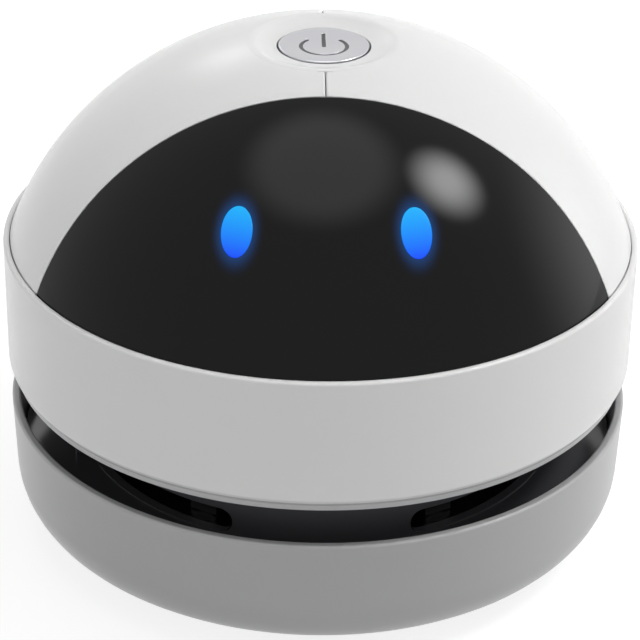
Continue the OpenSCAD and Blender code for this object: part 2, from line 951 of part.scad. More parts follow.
// One exhaust slot with round ends, through the housing's wall
module exhaust_slot(mid, span) {
    end = asin(slot_h / 2 / housing_r);
    mid_z = housing_floor_top + slot_rise + slot_h / 2;
    ring_part(
        housing_r - housing_wall - 1,
        housing_r + 1,
        mid_z - slot_h / 2,
        mid_z + slot_h / 2,
        mid,
        span - 2 * end
    );
    for (s = [-1, 1])
        rotate([0, 0, mid + s * (span / 2 - end)])
            translate([housing_r - housing_wall - 1, 0, mid_z])
                rotate([0, 90, 0]) cylinder(r = slot_h / 2, h = housing_wall + 2);
}

// Upright ribs on the housing's side lands, alike at the front and the back
module fins() {
    for (m = [0, 1], s = [-1, 1], a = fin_angles)
        mirror([0, m, 0])
            rotate([0, 0, -90 + s * a])
                translate([housing_r - housing_wall / 2, -fin_t / 2, housing_floor_top - fin_sink])
                    cube([
                        housing_wall / 2 + fin_out,
                        fin_t,
                        deck_z - bearing - housing_floor_top + fin_sink
                    ]);
}

// One bayonet lug with its stop and the filter's key, at angle 0
module lug() {
    ring_part(skirt_r - weld, lug_r, lug_z, lug_z + lug_t, 0, lug_span);
    ring_part(skirt_r - weld - fit, lug_r - fit, lug_z + weld, housing_z + run, stop_at, stop_span);
    translate([skirt_r - skirt_wall - key_out, -key_w / 2, skirt_z + key_lift])
        cube([key_out + skirt_wall / 2, key_w, housing_z + bed / 2 - skirt_z - key_lift]);
}

module fan_housing() {
    step = 360 / bayonet_n;
    pitch = 360 / slot_n;
    color([0.16, 0.16, 0.17])
    difference() {
        union() {
            rod(flange_r, housing_z, housing_floor_top);
            tube(housing_r, housing_r - housing_wall, housing_floor_top - bed, deck_z);
            tube(skirt_r, skirt_r - skirt_wall, skirt_z, housing_z + bed);
            for (i = [0 : bayonet_n - 1]) rotate([0, 0, i * step]) lug();
            fins();
            around(post_angles, post_circle_r)
                rod(post_r, housing_z + run, housing_floor_top + housing_boss_h);
        }
        tube(flange_r + 1, flange_r - seal_depth, housing_z + bed, housing_z + bed + seal_t);
        rod(eye_r, housing_z - 1, housing_floor_top + 1);
        for (i = [0 : slot_n - 1]) exhaust_slot(-90 + pitch / 2 + i * pitch, pitch - 2 * slot_land);
        around(post_angles, post_circle_r) {
            rod(head_r + fit, housing_z - 1, housing_z + fit + head_h);
            rod(screw_r + fit, housing_z - 1, housing_floor_top + housing_boss_h + 1);
        }
    }
}

module inlet_grille() {
    color([0.14, 0.14, 0.15]) {
        tube(eye_r - bearing, eye_r - grille_rim, housing_z, housing_floor_top);
        tube((eye_r + grille_bar) / 2, (eye_r - grille_bar) / 2, housing_z, housing_z + grille_bar);
        for (i = [0 : grille_spokes - 1])
            rotate([0, 0, i * 360 / grille_spokes])
                translate([0, -grille_bar / 2, housing_z])
                    cube([eye_r - grille_rim / 2, grille_bar, grille_bar]);
    }
}

module seal_ring() {
    color([0.1, 0.1, 0.1])
    tube(
        flange_r + seal_proud,
        flange_r - seal_depth + bearing,
        housing_z + bed + bearing,
        housing_z + bed + seal_t - bearing
    );
}

module case_screws() {
    color("gray")
    around(post_angles, post_circle_r)
        translate([0, 0, housing_z + fit]) screw(deck_top + case_screw_in - 1 - housing_z - head_h);
}

module filter_frame() {
    step = 360 / bayonet_n;
    color([0.25, 0.27, 0.3])
    difference() {
        union() {
            tube(filter_r + filter_wall, filter_r, filter_z, filter_top);
            tube(skirt_r - skirt_wall - run - fit, filter_r + bed, filter_top - filter_rim_t, filter_top);
            for (i = [0 : 2])
                rotate([0, 0, i * 60 + 30])
                    translate([-filter_r - bed, -filter_bar_w / 2, filter_z])
                        cube([2 * (filter_r + bed), filter_bar_w, filter_bar_t]);
            tube(filter_hub_r, filter_hub_r - filter_bar_w, filter_z, filter_z + filter_bar_t);
        }
        for (i = [0 : bayonet_n - 1])
            rotate([0, 0, i * step])
                translate([skirt_r - skirt_wall - key_out - run, -key_w / 2 - run, filter_z - 1])
                    cube([key_out + skirt_wall + 1, key_w + 2 * run, filter_depth + 2]);
    }
}

// Pleated paper: a zigzag sheet cut round
module filter_media() {
    pitch = 2 * filter_r / pleat_n;
    low = filter_z + filter_bar_t;
    high = filter_top - bed - pleat_t;
    edge = [for (i = [0 : 2 * pleat_n]) [-filter_r + i * pitch / 2, i % 2 == 0 ? low : high]];
    color("ivory")
    intersection() {
        rod(filter_r - bearing, filter_z, filter_top);
        translate([0, far / 2, 0])
            rotate([90, 0, 0])
                linear_extrude(far)
                    polygon(concat(edge, [for (i = [2 * pleat_n : -1 : 0]) edge[i] + [0, pleat_t]]));
    }
}

// The cup's section: wall taken off all round, cut at floor_at
module cup_section(wall, floor_at) {
    intersection() {
        union() {
            polygon([
                [0, turn_z],
                [cup_low_r - wall, turn_z],
                [cup_r - wall, rim_z],
                [cup_r - wall, rim_z + 2 * wall],
                [0, rim_z + 2 * wall]
            ]);
            translate([turn_r, turn_z]) circle(r = cup_fillet - wall, $fn = 144);
            translate([0, turn_z - cup_fillet + wall]) square([turn_r, cup_fillet]);
        }
        translate([0, floor_at]) square([far, far]);
    }
}

module dust_cup() {
    step = 360 / bayonet_n;
    color("lightgray")
    difference() {
        union() {
            difference() {
                rotate_extrude($fn = 144)
                    difference() {
                        cup_section(0, cup_z);
                        cup_section(cup_wall, floor_z);
                    }
                rod(plate_r + fit, cup_z - 1, plate_top);
                rod(floor_hole_r, cup_z - 1, floor_z + 1);
            }
            for (i = [0 : rest_rib_n - 1])
                rotate([0, 0, (i + 0.5) * 360 / rest_rib_n])
                    translate([filter_r - rest_rib_in, -rest_rib_t / 2, floor_z - bed])
                        cube([
                            turn_r + rest_rib_out - filter_r + rest_rib_in,
                            rest_rib_t,
                            filter_z - fit - floor_z + bed
                        ]);
            around(plate_screw_angles, plate_screw_r)
                rod(screw_r + plate_boss_wall, plate_top + bearing, floor_z + plate_boss_h);
            for (i = [0 : bayonet_n - 1])
                ring_part(
                    skirt_r + run,
                    cup_in_r + weld,
                    tab_z,
                    tab_z + tab_t,
                    i * step + tab_rest,
                    tab_span
                );
        }
        around(plate_screw_angles, plate_screw_r)
            rod(screw_r + bearing, plate_top - 1, plate_top + base_screw_l);
        around(foot_angles, foot_circle_r) rod(foot_r + bearing, cup_z - 1, cup_z + foot_seat);
    }
}

// The inlet's tube, with a rim that rests on the base plate
module suction_nozzle() {
    color([0.22, 0.22, 0.23])
    difference() {
        union() {
            rod(nozzle_r, cup_z, nozzle_top);
            rod(nozzle_r + nozzle_rim, floor_z, floor_z + nozzle_rim_t);
        }
        rod(inlet_r, cup_z - 1, nozzle_top + 1);
    }
}

// The plate under the cup: its raised middle closes the hole in the cup's floor
module base_plate() {
    color([0.22, 0.22, 0.23])
    difference() {
        union() {
            rod(plate_r, cup_z, plate_top);
            rod(floor_hole_r - fit, plate_top - bed, floor_z);
        }
        rod(nozzle_r + fit, cup_z - 1, floor_z + 1);
        for (a = [-90, 90])
            ring_part(
                brush_r - brush_w / 2 - fit,
                brush_r + brush_w / 2 + fit,
                cup_z - 1,
                plate_top + bearing,
                a,
                brush_span + 1
            );
        around(plate_screw_angles, plate_screw_r) {
            rod(screw_r + fit, cup_z - 1, plate_top + 1);
            rod(head_r + fit, cup_z - 1, cup_z + plate_sink);
            rod(screw_r + plate_boss_wall + fit, plate_top - bearing, floor_z + 1);
        }
    }
}

// A brush strip: a curved backing and its short bristles
module brush(mid) {
    rows = strand_rows - 1;
    step = (brush_span - strand_inset) / (strand_n - 0.5);
    start = mid - (brush_span - strand_inset) / 2;
    ring_part(
        brush_r - brush_w / 2,
        brush_r + brush_w / 2,
        plate_top - brush_back_t,
        plate_top,
        mid,
        brush_span
    );
    for (k = [0 : rows], i = [0 : strand_n - 1])
        rotate([0, 0, start + (i + 0.5 * (k % 2)) * step])
            translate([brush_r + (k - rows / 2) * strand_row_gap, 0, strand_tip])
                cylinder(r = strand_r, h = plate_top - brush_back_t + bed - strand_tip, $fn = 4);
}

module brush_front() {
    color([0.3, 0.3, 0.32]) brush(-90);
}

module brush_back() {
    color([0.3, 0.3, 0.32]) brush(90);
}

module feet() {
    color([0.12, 0.12, 0.12])
    around(foot_angles, foot_circle_r) rod(foot_r, 0, foot_h + foot_seat);
}

module base_screws() {
    color("gray")
    around(plate_screw_angles, plate_screw_r)
        translate([0, 0, cup_z + plate_sink - base_head_h]) screw(base_screw_l, base_head_h);
}

band();
dome_left();
dome_right();
visor();
eye_window_left();
eye_window_right();
crown();
power_button();
switch_plunger();
switch_body();
control_board();
board_screws();
led_board();
led_lamps();
battery_cell();
charge_socket();
charge_board();
lead_wires();
motor_can();
motor_end_cap();
motor_screws();
motor_shaft();
impeller();
motor_deck();
fan_housing();
inlet_grille();
seal_ring();
case_screws();
filter_frame();
filter_media();
dust_cup();
suction_nozzle();
base_plate();
brush_front();
brush_back();
feet();
base_screws();
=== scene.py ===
"""A dome-shaped desktop mini vacuum cleaner, dressed for a soft studio picture.

Shapes are worked out in millimetres and turned to metres once, where a mesh is made.
Azimuths are counted from the front (-Y) towards the right (+X). A profile holds
(radius, height) points and their outward normals, and is turned about an upright axis.
"""

import json
import logging
import math
from dataclasses import dataclass, field
from enum import Enum
from typing import Sequence

import bpy
import numpy as np
from mathutils import Matrix, Vector

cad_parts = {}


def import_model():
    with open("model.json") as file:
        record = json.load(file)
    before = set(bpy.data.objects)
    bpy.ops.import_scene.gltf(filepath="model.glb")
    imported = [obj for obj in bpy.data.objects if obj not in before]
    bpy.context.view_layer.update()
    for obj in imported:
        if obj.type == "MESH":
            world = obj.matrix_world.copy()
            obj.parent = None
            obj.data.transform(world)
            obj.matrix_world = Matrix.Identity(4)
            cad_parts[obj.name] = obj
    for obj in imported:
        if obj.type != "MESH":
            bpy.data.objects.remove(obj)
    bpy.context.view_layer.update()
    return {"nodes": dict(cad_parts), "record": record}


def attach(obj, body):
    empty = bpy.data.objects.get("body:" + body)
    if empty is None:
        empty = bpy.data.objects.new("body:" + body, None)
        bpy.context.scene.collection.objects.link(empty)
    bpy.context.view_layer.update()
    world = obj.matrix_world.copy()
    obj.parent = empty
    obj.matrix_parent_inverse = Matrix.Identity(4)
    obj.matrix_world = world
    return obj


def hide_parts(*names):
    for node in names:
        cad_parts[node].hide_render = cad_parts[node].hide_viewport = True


MM = 0.001
WELD_MM = 1e-4
WELD_SHIFT = 0.37  # keeps round sizes away from the border of a weld cell
ARC_STEP = math.radians(8)
SHARP_ANGLE = math.radians(32)
ON_SURFACE_MM = 0.004
LOOKS_OUT = 0.9  # least cosine between a face and the way out
MITRE_LEAST = 0.6  # keeps the mitre of a sharp corner short
SLOPE_STEP = 1e-3  # to either side of a point whose slope is taken
WHITE = (1, 1, 1, 1)
LOG = logging.getLogger("desktop_vacuum")

Array = np.ndarray
Profile = tuple[Array, Array]
Tree = bpy.types.ShaderNodeTree
Node = bpy.types.ShaderNode
Socket = bpy.types.NodeSocket
Mesh = bpy.types.Mesh


# ---------------------------------------------------------------- sizes


@dataclass(frozen=True)
class Measures:
    """Sizes that several sub-assemblies share, in millimetres and radians."""

    body_r: float = 44.0
    band_z: float = 24.6
    band_top: float = 43.7
    ledge_z: float = 41.8
    lip_w: float = 0.74
    lip_gap: float = 0.2
    dome_rise: float = 28.8
    shell_t: float = 1.6
    crown_r: float = 10.3
    crown_gap: float = 0.04
    hole_r: float = 6.38
    button_r: float = 6.14
    seam: float = 0.1
    visor_back: float = 20.6
    visor_tilt: float = math.radians(11.4)
    eye_angle: float = math.radians(19.85)
    eye_z: float = 58.45
    eye_w: float = 4.1
    eye_h: float = 6.9
    eye_turn: float = math.radians(11.5)

    @property
    def edge_r(self) -> float:
        """The dome's radius where it meets the band."""
        return self.body_r - self.lip_w - self.lip_gap

    @property
    def dome_r(self) -> float:
        """The dome's own radius, from its edge and its rise."""
        return (self.edge_r**2 + self.dome_rise**2) / (2 * self.dome_rise)

    @property
    def centre(self) -> Array:
        """The middle of the dome's ball."""
        return np.array([0, 0, self.band_top + self.dome_rise - self.dome_r])

    @property
    def rim_angle(self) -> float:
        """The dome's rim as an angle from the top."""
        return math.acos((self.band_top - self.centre[2]) / self.dome_r)

    @property
    def crown_angle(self) -> float:
        """The crown's border as an angle from the top."""
        return math.asin((self.crown_r + self.crown_gap) / self.dome_r)

    def onto_ball(self, points: Array) -> Array:
        """Points moved towards or away from the dome's middle until they are on its ball."""
        return self.centre + self.dome_r * unit(points - self.centre)

    def on_dome(self, azimuth: Array, angle: Array) -> Array:
        """The points on the dome's ball at an azimuth and an angle from the top."""
        rows = (np.sin(angle) * np.sin(azimuth), -np.sin(angle) * np.cos(azimuth), np.cos(angle))
        return self.centre + self.dome_r * np.stack(np.broadcast_arrays(*rows), axis=-1)

    def cut(self, turn: Array, gap: float) -> Array:
        """Points along the visor's flat cut through the dome's ball, which is a circle.

        Args:
            turn: radians round the cut's circle, 0 at its top and more to the right.
            gap: how far the cut is moved towards the front.

        Returns:
            The points, one row each.
        """
        c, s = math.cos(self.visor_tilt), math.sin(self.visor_tilt)
        away = self.visor_back * c + (self.band_top - self.centre[2]) * s + gap
        ring = math.sqrt(self.dome_r**2 - away**2)
        x, up = ring * np.sin(turn), ring * np.cos(turn)
        return self.centre + np.stack([x, up * s - away * c, up * c + away * s], axis=-1)

    def corner_turn(self, gap: float) -> float:
        """How far round its circle the cut meets the rim."""
        turns = np.linspace(math.radians(60), math.radians(80), 2001)
        return float(np.interp(-self.band_top, -self.cut(turns, gap)[:, 2], turns))

    def corner_azimuth(self, gap: float) -> float:
        """The azimuth where the cut meets the rim."""
        corner = self.cut(np.array([self.corner_turn(gap)]), gap)[0]
        return math.atan2(corner[0], -corner[1])

    def eye_frame(self, side: int) -> tuple[Array, Array, Array, Array]:
        """The place of one light window.

        Args:
            side: -1 for the left, 1 for the right.

        Returns:
            Its middle on the dome, and the unit vectors across, up and out.
        """
        angle = math.acos((self.eye_z - self.centre[2]) / self.dome_r)
        middle = self.on_dome(np.array(side * self.eye_angle), np.array(angle))
        out = unit(middle - self.centre)
        level = unit(np.cross([0.0, 0.0, 1.0], out))
        rise = np.cross(out, level)
        c, s = math.cos(self.eye_turn), math.sin(self.eye_turn) * side
        return middle, c * level - s * rise, c * rise + s * level, out


# ---------------------------------------------------------------- surfaces


def unit(v: Array) -> Array:
    """Vectors brought to length 1 along the last axis."""
    return v / np.maximum(np.linalg.norm(v, axis=-1, keepdims=True), 1e-12)


def smooth_step(v: Array) -> Array:
    """A soft step from 0 to 1."""
    t = np.clip(v, 0, 1)
    return t * t * (3 - 2 * t)


def circle(count: int) -> Array:
    """Evenly spaced azimuths once round, as one column."""
    return np.linspace(0, 2 * math.pi, count, endpoint=False)[:, None]


def grid_faces(rows: int, columns: int, wrap: bool = False) -> Array:
    """Quads of a grid of rows x columns points.

    Args:
        rows: number of rows.
        columns: points in a row.
        wrap: whether the last row is joined to the first.

    Returns:
        Four point numbers a quad.
    """
    i = np.arange(rows if wrap else rows - 1)[:, None]
    j = np.arange(columns - 1)[None, :]
    a = i * columns + j
    b = ((i + 1) % rows) * columns + j
    return np.stack([a, b, b + 1, a + 1], axis=-1).reshape(-1, 4)


def add_object(name: str, data: bpy.types.ID) -> bpy.types.Object:
    """A new object, linked into the scene.

    Args:
        name: its name.
        data: its mesh or camera.

    Returns:
        The object.
    """
    made = bpy.data.objects.new(name, data)
    bpy.context.scene.collection.objects.link(made)
    return made


@dataclass
class Surface:
    """Grids joined to one mesh, with an exact normal for each corner."""

    points: list[Array] = field(default_factory=list)
    faces: list[Array] = field(default_factory=list)
    normals: list[Array] = field(default_factory=list)
    marks: list[Array] = field(default_factory=list)
    count: int = 0

    def add(self, points: Array, normals: Array, faces: Array, mark: Array | None = None) -> None:
        """Puts in one part.

        Args:
            points: its points, a row each.
            normals: the outward normal at each point.
            faces: four point numbers a quad.
            mark: a value from 0 to 1 for each point, for the material.
        """
        points = points.reshape(-1, 3)
        self.points.append(points)
        self.faces.append(faces + self.count)
        self.normals.append(unit(normals.reshape(-1, 3))[faces])
        self.marks.append(np.zeros(len(points)) if mark is None else mark.reshape(-1))
        self.count += len(points)

    def mesh(self, name: str) -> Mesh:
        """The mesh in metres: points in one weld cell are one, and faces follow their normals.

        Args:
            name: the mesh's name.

        Returns:
            The new mesh.
        """
        points, faces = np.concatenate(self.points), np.concatenate(self.faces)
        normals, marks = np.concatenate(self.normals), np.concatenate(self.marks)
        keys = np.floor(points / WELD_MM + WELD_SHIFT).astype(np.int64)
        _, first, inverse = np.unique(keys, axis=0, return_index=True, return_inverse=True)
        faces = inverse.reshape(-1)[faces]
        p = points[first][faces]
        facing = np.cross(p[:, 2] - p[:, 0], p[:, 3] - p[:, 1])
        turned = np.einsum("ij,ij->i", facing, normals.sum(axis=1)) < 0
        faces[turned] = faces[turned][:, ::-1]
        normals[turned] = normals[turned][:, ::-1]
        keep = faces != np.roll(faces, -1, axis=1)
        whole, three = (keep.sum(axis=1) == n for n in (4, 3))
        polygons = faces[whole].tolist() + faces[three][keep[three]].reshape(-1, 3).tolist()
        corner = np.concatenate([normals[whole].reshape(-1, 3), normals[three][keep[three]]])
        mesh = bpy.data.meshes.new(name)
        mesh.from_pydata((points[first] * MM).tolist(), [], polygons)
        mesh.polygons.foreach_set("use_smooth", np.ones(len(mesh.polygons), dtype=bool))
        mesh.attributes.new("mark", "FLOAT", "POINT").data.foreach_set("value", marks[first])
        mesh.update()
        mesh.normals_split_custom_set(corner.tolist())
        return mesh


def rounded_profile(corners: Sequence[tuple[float, float, float]]) -> Profile:
    """A closed profile whose corners are arcs that touch both of their sides.

    Args:
        corners: (r, z, fillet) in order, counter-clockwise with r to the right and z up. A
            fillet of 0 leaves a sharp edge.

    Returns:
        The profile, closed on its first point.
    """
    points: list[Array] = []
    normals: list[Array] = []
    flat = [np.array(c[:2], dtype=float) for c in corners]
    for i, (_, _, fillet) in enumerate(corners):
        before = unit(flat[i] - flat[i - 1])
        after = unit(flat[(i + 1) % len(flat)] - flat[i])
        n0, n1 = (np.array([way[1], -way[0]]) for way in (before, after))
        turn = math.atan2(before[0] * after[1] - before[1] * after[0], float(before @ after))
        if fillet <= 0:
            points.append(np.array([flat[i], flat[i]]))
            normals.append(np.array([n0, n1]))
            continue
        start = flat[i] - before * fillet * math.tan(abs(turn) / 2)
        reach = math.copysign(fillet, turn)
        t = np.linspace(0, turn, max(3, int(abs(turn) / ARC_STEP) + 1))[:, None]
        arc = np.cos(t) * n0 + np.sin(t) * np.array([-n0[1], n0[0]])
        points.append(start - reach * n0 + reach * arc)
        normals.append(arc)
    return tuple(np.concatenate([*rows, rows[0][:1]]) for rows in (points, normals))


def bar(inner: float, outer: float, low: float, top: float, *fillets: float) -> Profile:
    """A four-sided profile, with its fillets from the inner low corner outwards and up."""
    corners = ((inner, low), (outer, low), (outer, top), (inner, top))
    return rounded_profile([(*corner, fillet) for corner, fillet in zip(corners, fillets)])


def run_on(profile: Profile, stops: Sequence[tuple[float, float]]) -> Profile:
    """Continues a profile along straight runs, whose normals point left of the way.

    Args:
        profile: the profile so far.
        stops: the next points, in order.

    Returns:
        The longer profile.
    """
    path = np.concatenate([profile[0][-1:], np.array(stops)])
    way = unit(np.diff(path, axis=0))
    left = np.repeat(np.stack([-way[:, 1], way[:, 0]], axis=-1), 2, axis=0)
    runs = np.stack([path[:-1], path[1:]], axis=1).reshape(-1, 2)
    return np.concatenate([profile[0], runs]), np.concatenate([profile[1], left])


def revolve(
    surface: Surface,
    profile: Profile,
    turns: int,
    span: tuple[float, float] | None = None,
    middle: tuple[float, float] = (0.0, 0.0),
) -> None:
    """Turns a profile about an upright axis: each point keeps its radius and height.

    Args:
        surface: where the rings go.
        profile: what is turned.
        turns: steps round the axis.
        span: first and last azimuth for a part turn, whose ends are capped.
        middle: where the axis stands.
    """
    whole = span is None
    a = np.arange(turns) * 2 * math.pi / turns if whole else np.linspace(*span, turns)
    way = np.stack([np.sin(a), -np.cos(a)], axis=-1)[:, None]
    rings, facing = (
        np.concatenate(
            [rows[:, :1] * way, np.broadcast_to(rows[:, 1:], (turns, len(rows), 1))], axis=-1
        )
        for rows in profile
    )
    rings = rings + np.array([*middle, 0.0])
    columns = rings.shape[1]
    surface.add(rings, facing, grid_faces(turns, columns, wrap=whole))
    for k, sign in () if whole else ((0, -1.0), (-1, 1.0)):
        hub = np.broadcast_to(rings[k][:-1].mean(axis=0), rings[k].shape)
        face = sign * np.array([math.cos(a[k]), math.sin(a[k]), 0.0])
        cap = np.stack([rings[k], hub])
        surface.add(cap, np.broadcast_to(face, cap.shape), grid_faces(2, columns))


def block(surface: Surface, middle: Array, size: Array, azimuth: float) -> None:
    """A plain block, turned about the upright axis.

    Args:
        surface: where it goes.
        middle: its centre at azimuth 0, which is turned with it.
        size: its sides.
        azimuth: the turn, in radians.
    """
    c, s = math.cos(azimuth), math.sin(azimuth)
    turn = np.array([[c, s, 0], [-s, c, 0], [0, 0, 1.0]])
    for axis in range(3):
        u, v = (k for k in range(3) if k != axis)
        for sign in (-1.0, 1.0):
            corners, normal = np.zeros((4, 3)), np.zeros((4, 3))
            corners[:, u] = np.array([-1, 1, 1, -1]) * size[u] / 2
            corners[:, v] = np.array([-1, -1, 1, 1]) * size[v] / 2
            corners[:, axis] = sign * size[axis] / 2
            normal[:, axis] = sign
            surface.add((corners + middle) @ turn, normal @ turn, np.array([[0, 1, 2, 3]]))


def extrusion(loop: Array, start: Array, travel: Array) -> Surface:
    """A closed prism: a flat outline drawn along a straight way, with a fan at each end.

    Args:
        loop: the outline's points, relative to start.
        start: the outline's place.
        travel: how far it is drawn out.

    Returns:
        The prism.
    """
    prism = Surface()
    ring = np.concatenate([loop, loop[:1]])
    middle = np.broadcast_to(loop.mean(axis=0), ring.shape)
    outward = unit(ring - middle)
    faces = grid_faces(2, len(ring))
    prism.add(np.stack([ring + start, ring + start + travel]), np.stack([outward, outward]), faces)
    for offset, sign in ((start, -1.0), (start + travel, 1.0)):
        cap = np.stack([ring + offset, middle + offset])
        prism.add(cap, np.broadcast_to(sign * unit(travel), cap.shape), faces)
    return prism


def shell(surface: Surface, grid: Array, centre: Array, thickness: float, edge: Array) -> None:
    """A curved sheet on a ball, given its thickness and rounded outer edges.

    The outer sheet ends one edge radius short of the outline, a quarter round leads over to
    an upright wall, and the inner sheet is the outline brought towards the centre.

    Args:
        surface: where it goes.
        grid: points on the ball, rows x columns.
        centre: the ball's centre.
        thickness: how thick the sheet is.
        edge: the edge radius at each point of the grid; only the border's values count.
    """
    rows, columns = grid.shape[:2]
    number = np.arange(rows * columns).reshape(rows, columns)
    border = np.concatenate(
        [number[:-1, 0], number[-1, :-1], number[:0:-1, -1], number[0, :0:-1]]
    )
    flat = grid.reshape(-1, 3)
    rim = flat[border]
    ball = np.linalg.norm(rim[0] - centre)
    out = unit(rim - centre)
    step = unit(np.roll(rim, -1, axis=0) - rim)
    inward = unit(np.cross(unit(out + np.roll(out, -1, axis=0)), step))
    if np.einsum("ij,ij->i", inward, flat.mean(axis=0) - rim).sum() < 0:
        inward = -inward
    both = unit(inward + np.roll(inward, 1, axis=0))
    mitre = both / np.maximum(np.einsum("ij,ij->i", both, inward), MITRE_LEAST)[:, None]
    radius = edge.reshape(-1)[border][:, None]
    outer = flat.copy()
    outer[border] = centre + ball * unit(rim + mitre * radius - centre)
    surface.add(outer, unit(outer - centre), grid_faces(rows, columns))
    core = rim + mitre * radius - out * radius
    rings, facing = [outer[border]], [unit(outer[border] - centre)]
    for angle in np.radians([22.5, 45, 67.5, 90]):
        rings.append(core + radius * (out * math.cos(angle) - mitre * math.sin(angle)))
        facing.append(out * math.cos(angle) - both * math.sin(angle))
    inner = centre + (flat - centre) * (ball - thickness) / ball
    rings.append(inner[border])
    facing.append(-both)
    strip, side = (np.array(part)[:, np.r_[: len(border), 0]] for part in (rings, facing))
    surface.add(strip, side, grid_faces(*strip.shape[:2]))
    surface.add(inner, -unit(flat - centre), grid_faces(rows, columns))


def cut_with(mesh: Mesh, cutters: Sequence[Surface]) -> Mesh:
    """Takes closed cutters out of a closed mesh.

    Args:
        mesh: the mesh, which is used up.
        cutters: what is taken out.

    Returns:
        The new mesh, its normals not yet set.
    """
    name = mesh.name
    body = add_object("cut_body", mesh)
    tools = []
    for k, cutter in enumerate(cutters):
        tools.append(add_object(f"cutter_{k}", cutter.mesh(f"cutter_{k}")))
        modifier = body.modifiers.new(f"cut_{k}", "BOOLEAN")
        modifier.operation = "DIFFERENCE"
        modifier.solver = "EXACT"
        modifier.object = tools[-1]
    graph = bpy.context.evaluated_depsgraph_get()
    result = bpy.data.meshes.new_from_object(body.evaluated_get(graph))
    for item in [body, *tools]:
        bpy.data.objects.remove(item)
    result.name = name
    return result


def read(items: object, key: str, width: int, kind: type = float) -> Array:
    """One property of all of a mesh's items, a row each.

    Args:
        items: the mesh's points, corners or faces.
        key: the property.
        width: how many numbers it has.
        kind: their type.

    Returns:
        The rows.
    """
    values = np.zeros(len(items) * width, dtype=kind)
    items.foreach_get(key, values)
    return values.reshape(-1, width)


def settle_normals(
    mesh: Mesh, middle: Array, axes: Sequence[int], radius: float, climb: float = math.inf
) -> None:
    """Sets corner normals: exact ones on the round outer face, and smooth by angle elsewhere.

    A corner is on that face where its distance from the middle is the radius and its face
    looks outwards.

    Args:
        mesh: the mesh.
        middle: the round face's middle, in mm.
        axes: 1 for each axis that the distance counts: three for a ball, two for a wall.
        radius: the face's radius, in mm.
        climb: the most that such a face looks up, as the Z part of its normal.
    """
    for kept in ("custom_normal", "sharp_edge", "sharp_face"):
        if kept in mesh.attributes:
            mesh.attributes.remove(mesh.attributes[kept])
    mesh.polygons.foreach_set("use_smooth", np.ones(len(mesh.polygons), dtype=bool))
    mesh.set_sharp_from_angle(angle=SHARP_ANGLE)
    normals = read(mesh.corner_normals, "vector", 3)
    vertex = read(mesh.loops, "vertex_index", 1, np.int32)[:, 0]
    total = read(mesh.polygons, "loop_total", 1, np.int32)[:, 0]
    facing = np.repeat(read(mesh.polygons, "normal", 3), total, axis=0)
    away = (read(mesh.vertices, "co", 3)[vertex] / MM - middle) * axes
    exact = unit(away)
    outer = np.abs(np.linalg.norm(away, axis=1) - radius) < ON_SURFACE_MM
    outer &= (np.einsum("ij,ij->i", exact, facing) > LOOKS_OUT) & (facing[:, 2] < climb)
    normals[outer] = exact[outer]
    mesh.normals_split_custom_set(normals.tolist())


# ---------------------------------------------------------------- finishes


def linear(code: str) -> tuple[float, float, float, float]:
    """A written colour as Blender's linear light, by the sRGB curve.

    Args:
        code: sRGB as "#RRGGBB".

    Returns:
        Linear red, green, blue and alpha.
    """
    parts = [int(code[k : k + 2], 16) / 255 for k in (1, 3, 5)]
    light = [c / 12.92 if c <= 0.04045 else ((c + 0.055) / 1.055) ** 2.4 for c in parts]
    return (light[0], light[1], light[2], 1.0)


def feed(target: Node, inputs: dict[str | int, object]) -> None:
    """Sets inputs of a node.

    Args:
        target: the node.
        inputs: for each named or numbered input a value, a socket to link, or a node whose
            first output is linked.
    """
    for name, value in inputs.items():
        source = value.outputs[0] if isinstance(value, bpy.types.Node) else value
        if isinstance(source, Socket):
            target.id_data.links.new(source, target.inputs[name])
        else:
            target.inputs[name].default_value = source


def node(
    tree: Tree, kind: str, inputs: dict[str | int, object] | None = None, **settings: object
) -> Node:
    """Adds one node.

    Args:
        tree: the material's tree.
        kind: the node's type.
        inputs: what its inputs get, as in feed.
        settings: the node's own settings.

    Returns:
        The new node.
    """
    made = tree.nodes.new(kind)
    for name, value in settings.items():
        setattr(made, name, value)
    feed(made, inputs or {})
    return made


def axis_distance(tree: Tree, place: Socket) -> Socket:
    """How far a point is from the upright axis: the length of its X and Y parts."""
    flat = node(tree, "ShaderNodeVectorMath", {0: place, 1: (1, 1, 0)}, operation="MULTIPLY")
    return node(tree, "ShaderNodeVectorMath", {0: flat}, operation="LENGTH").outputs["Value"]


class Grain(Enum):
    """The kind of fine texture, with the octaves of its noise."""

    TURNED = 3.0
    MOULDED = 6.0
    PAPER = 8.0


@dataclass(frozen=True)
class Relief:
    """A fine texture: its kind, the width of its grain and its depth, in mm."""

    grain: Grain
    width: float
    depth: float


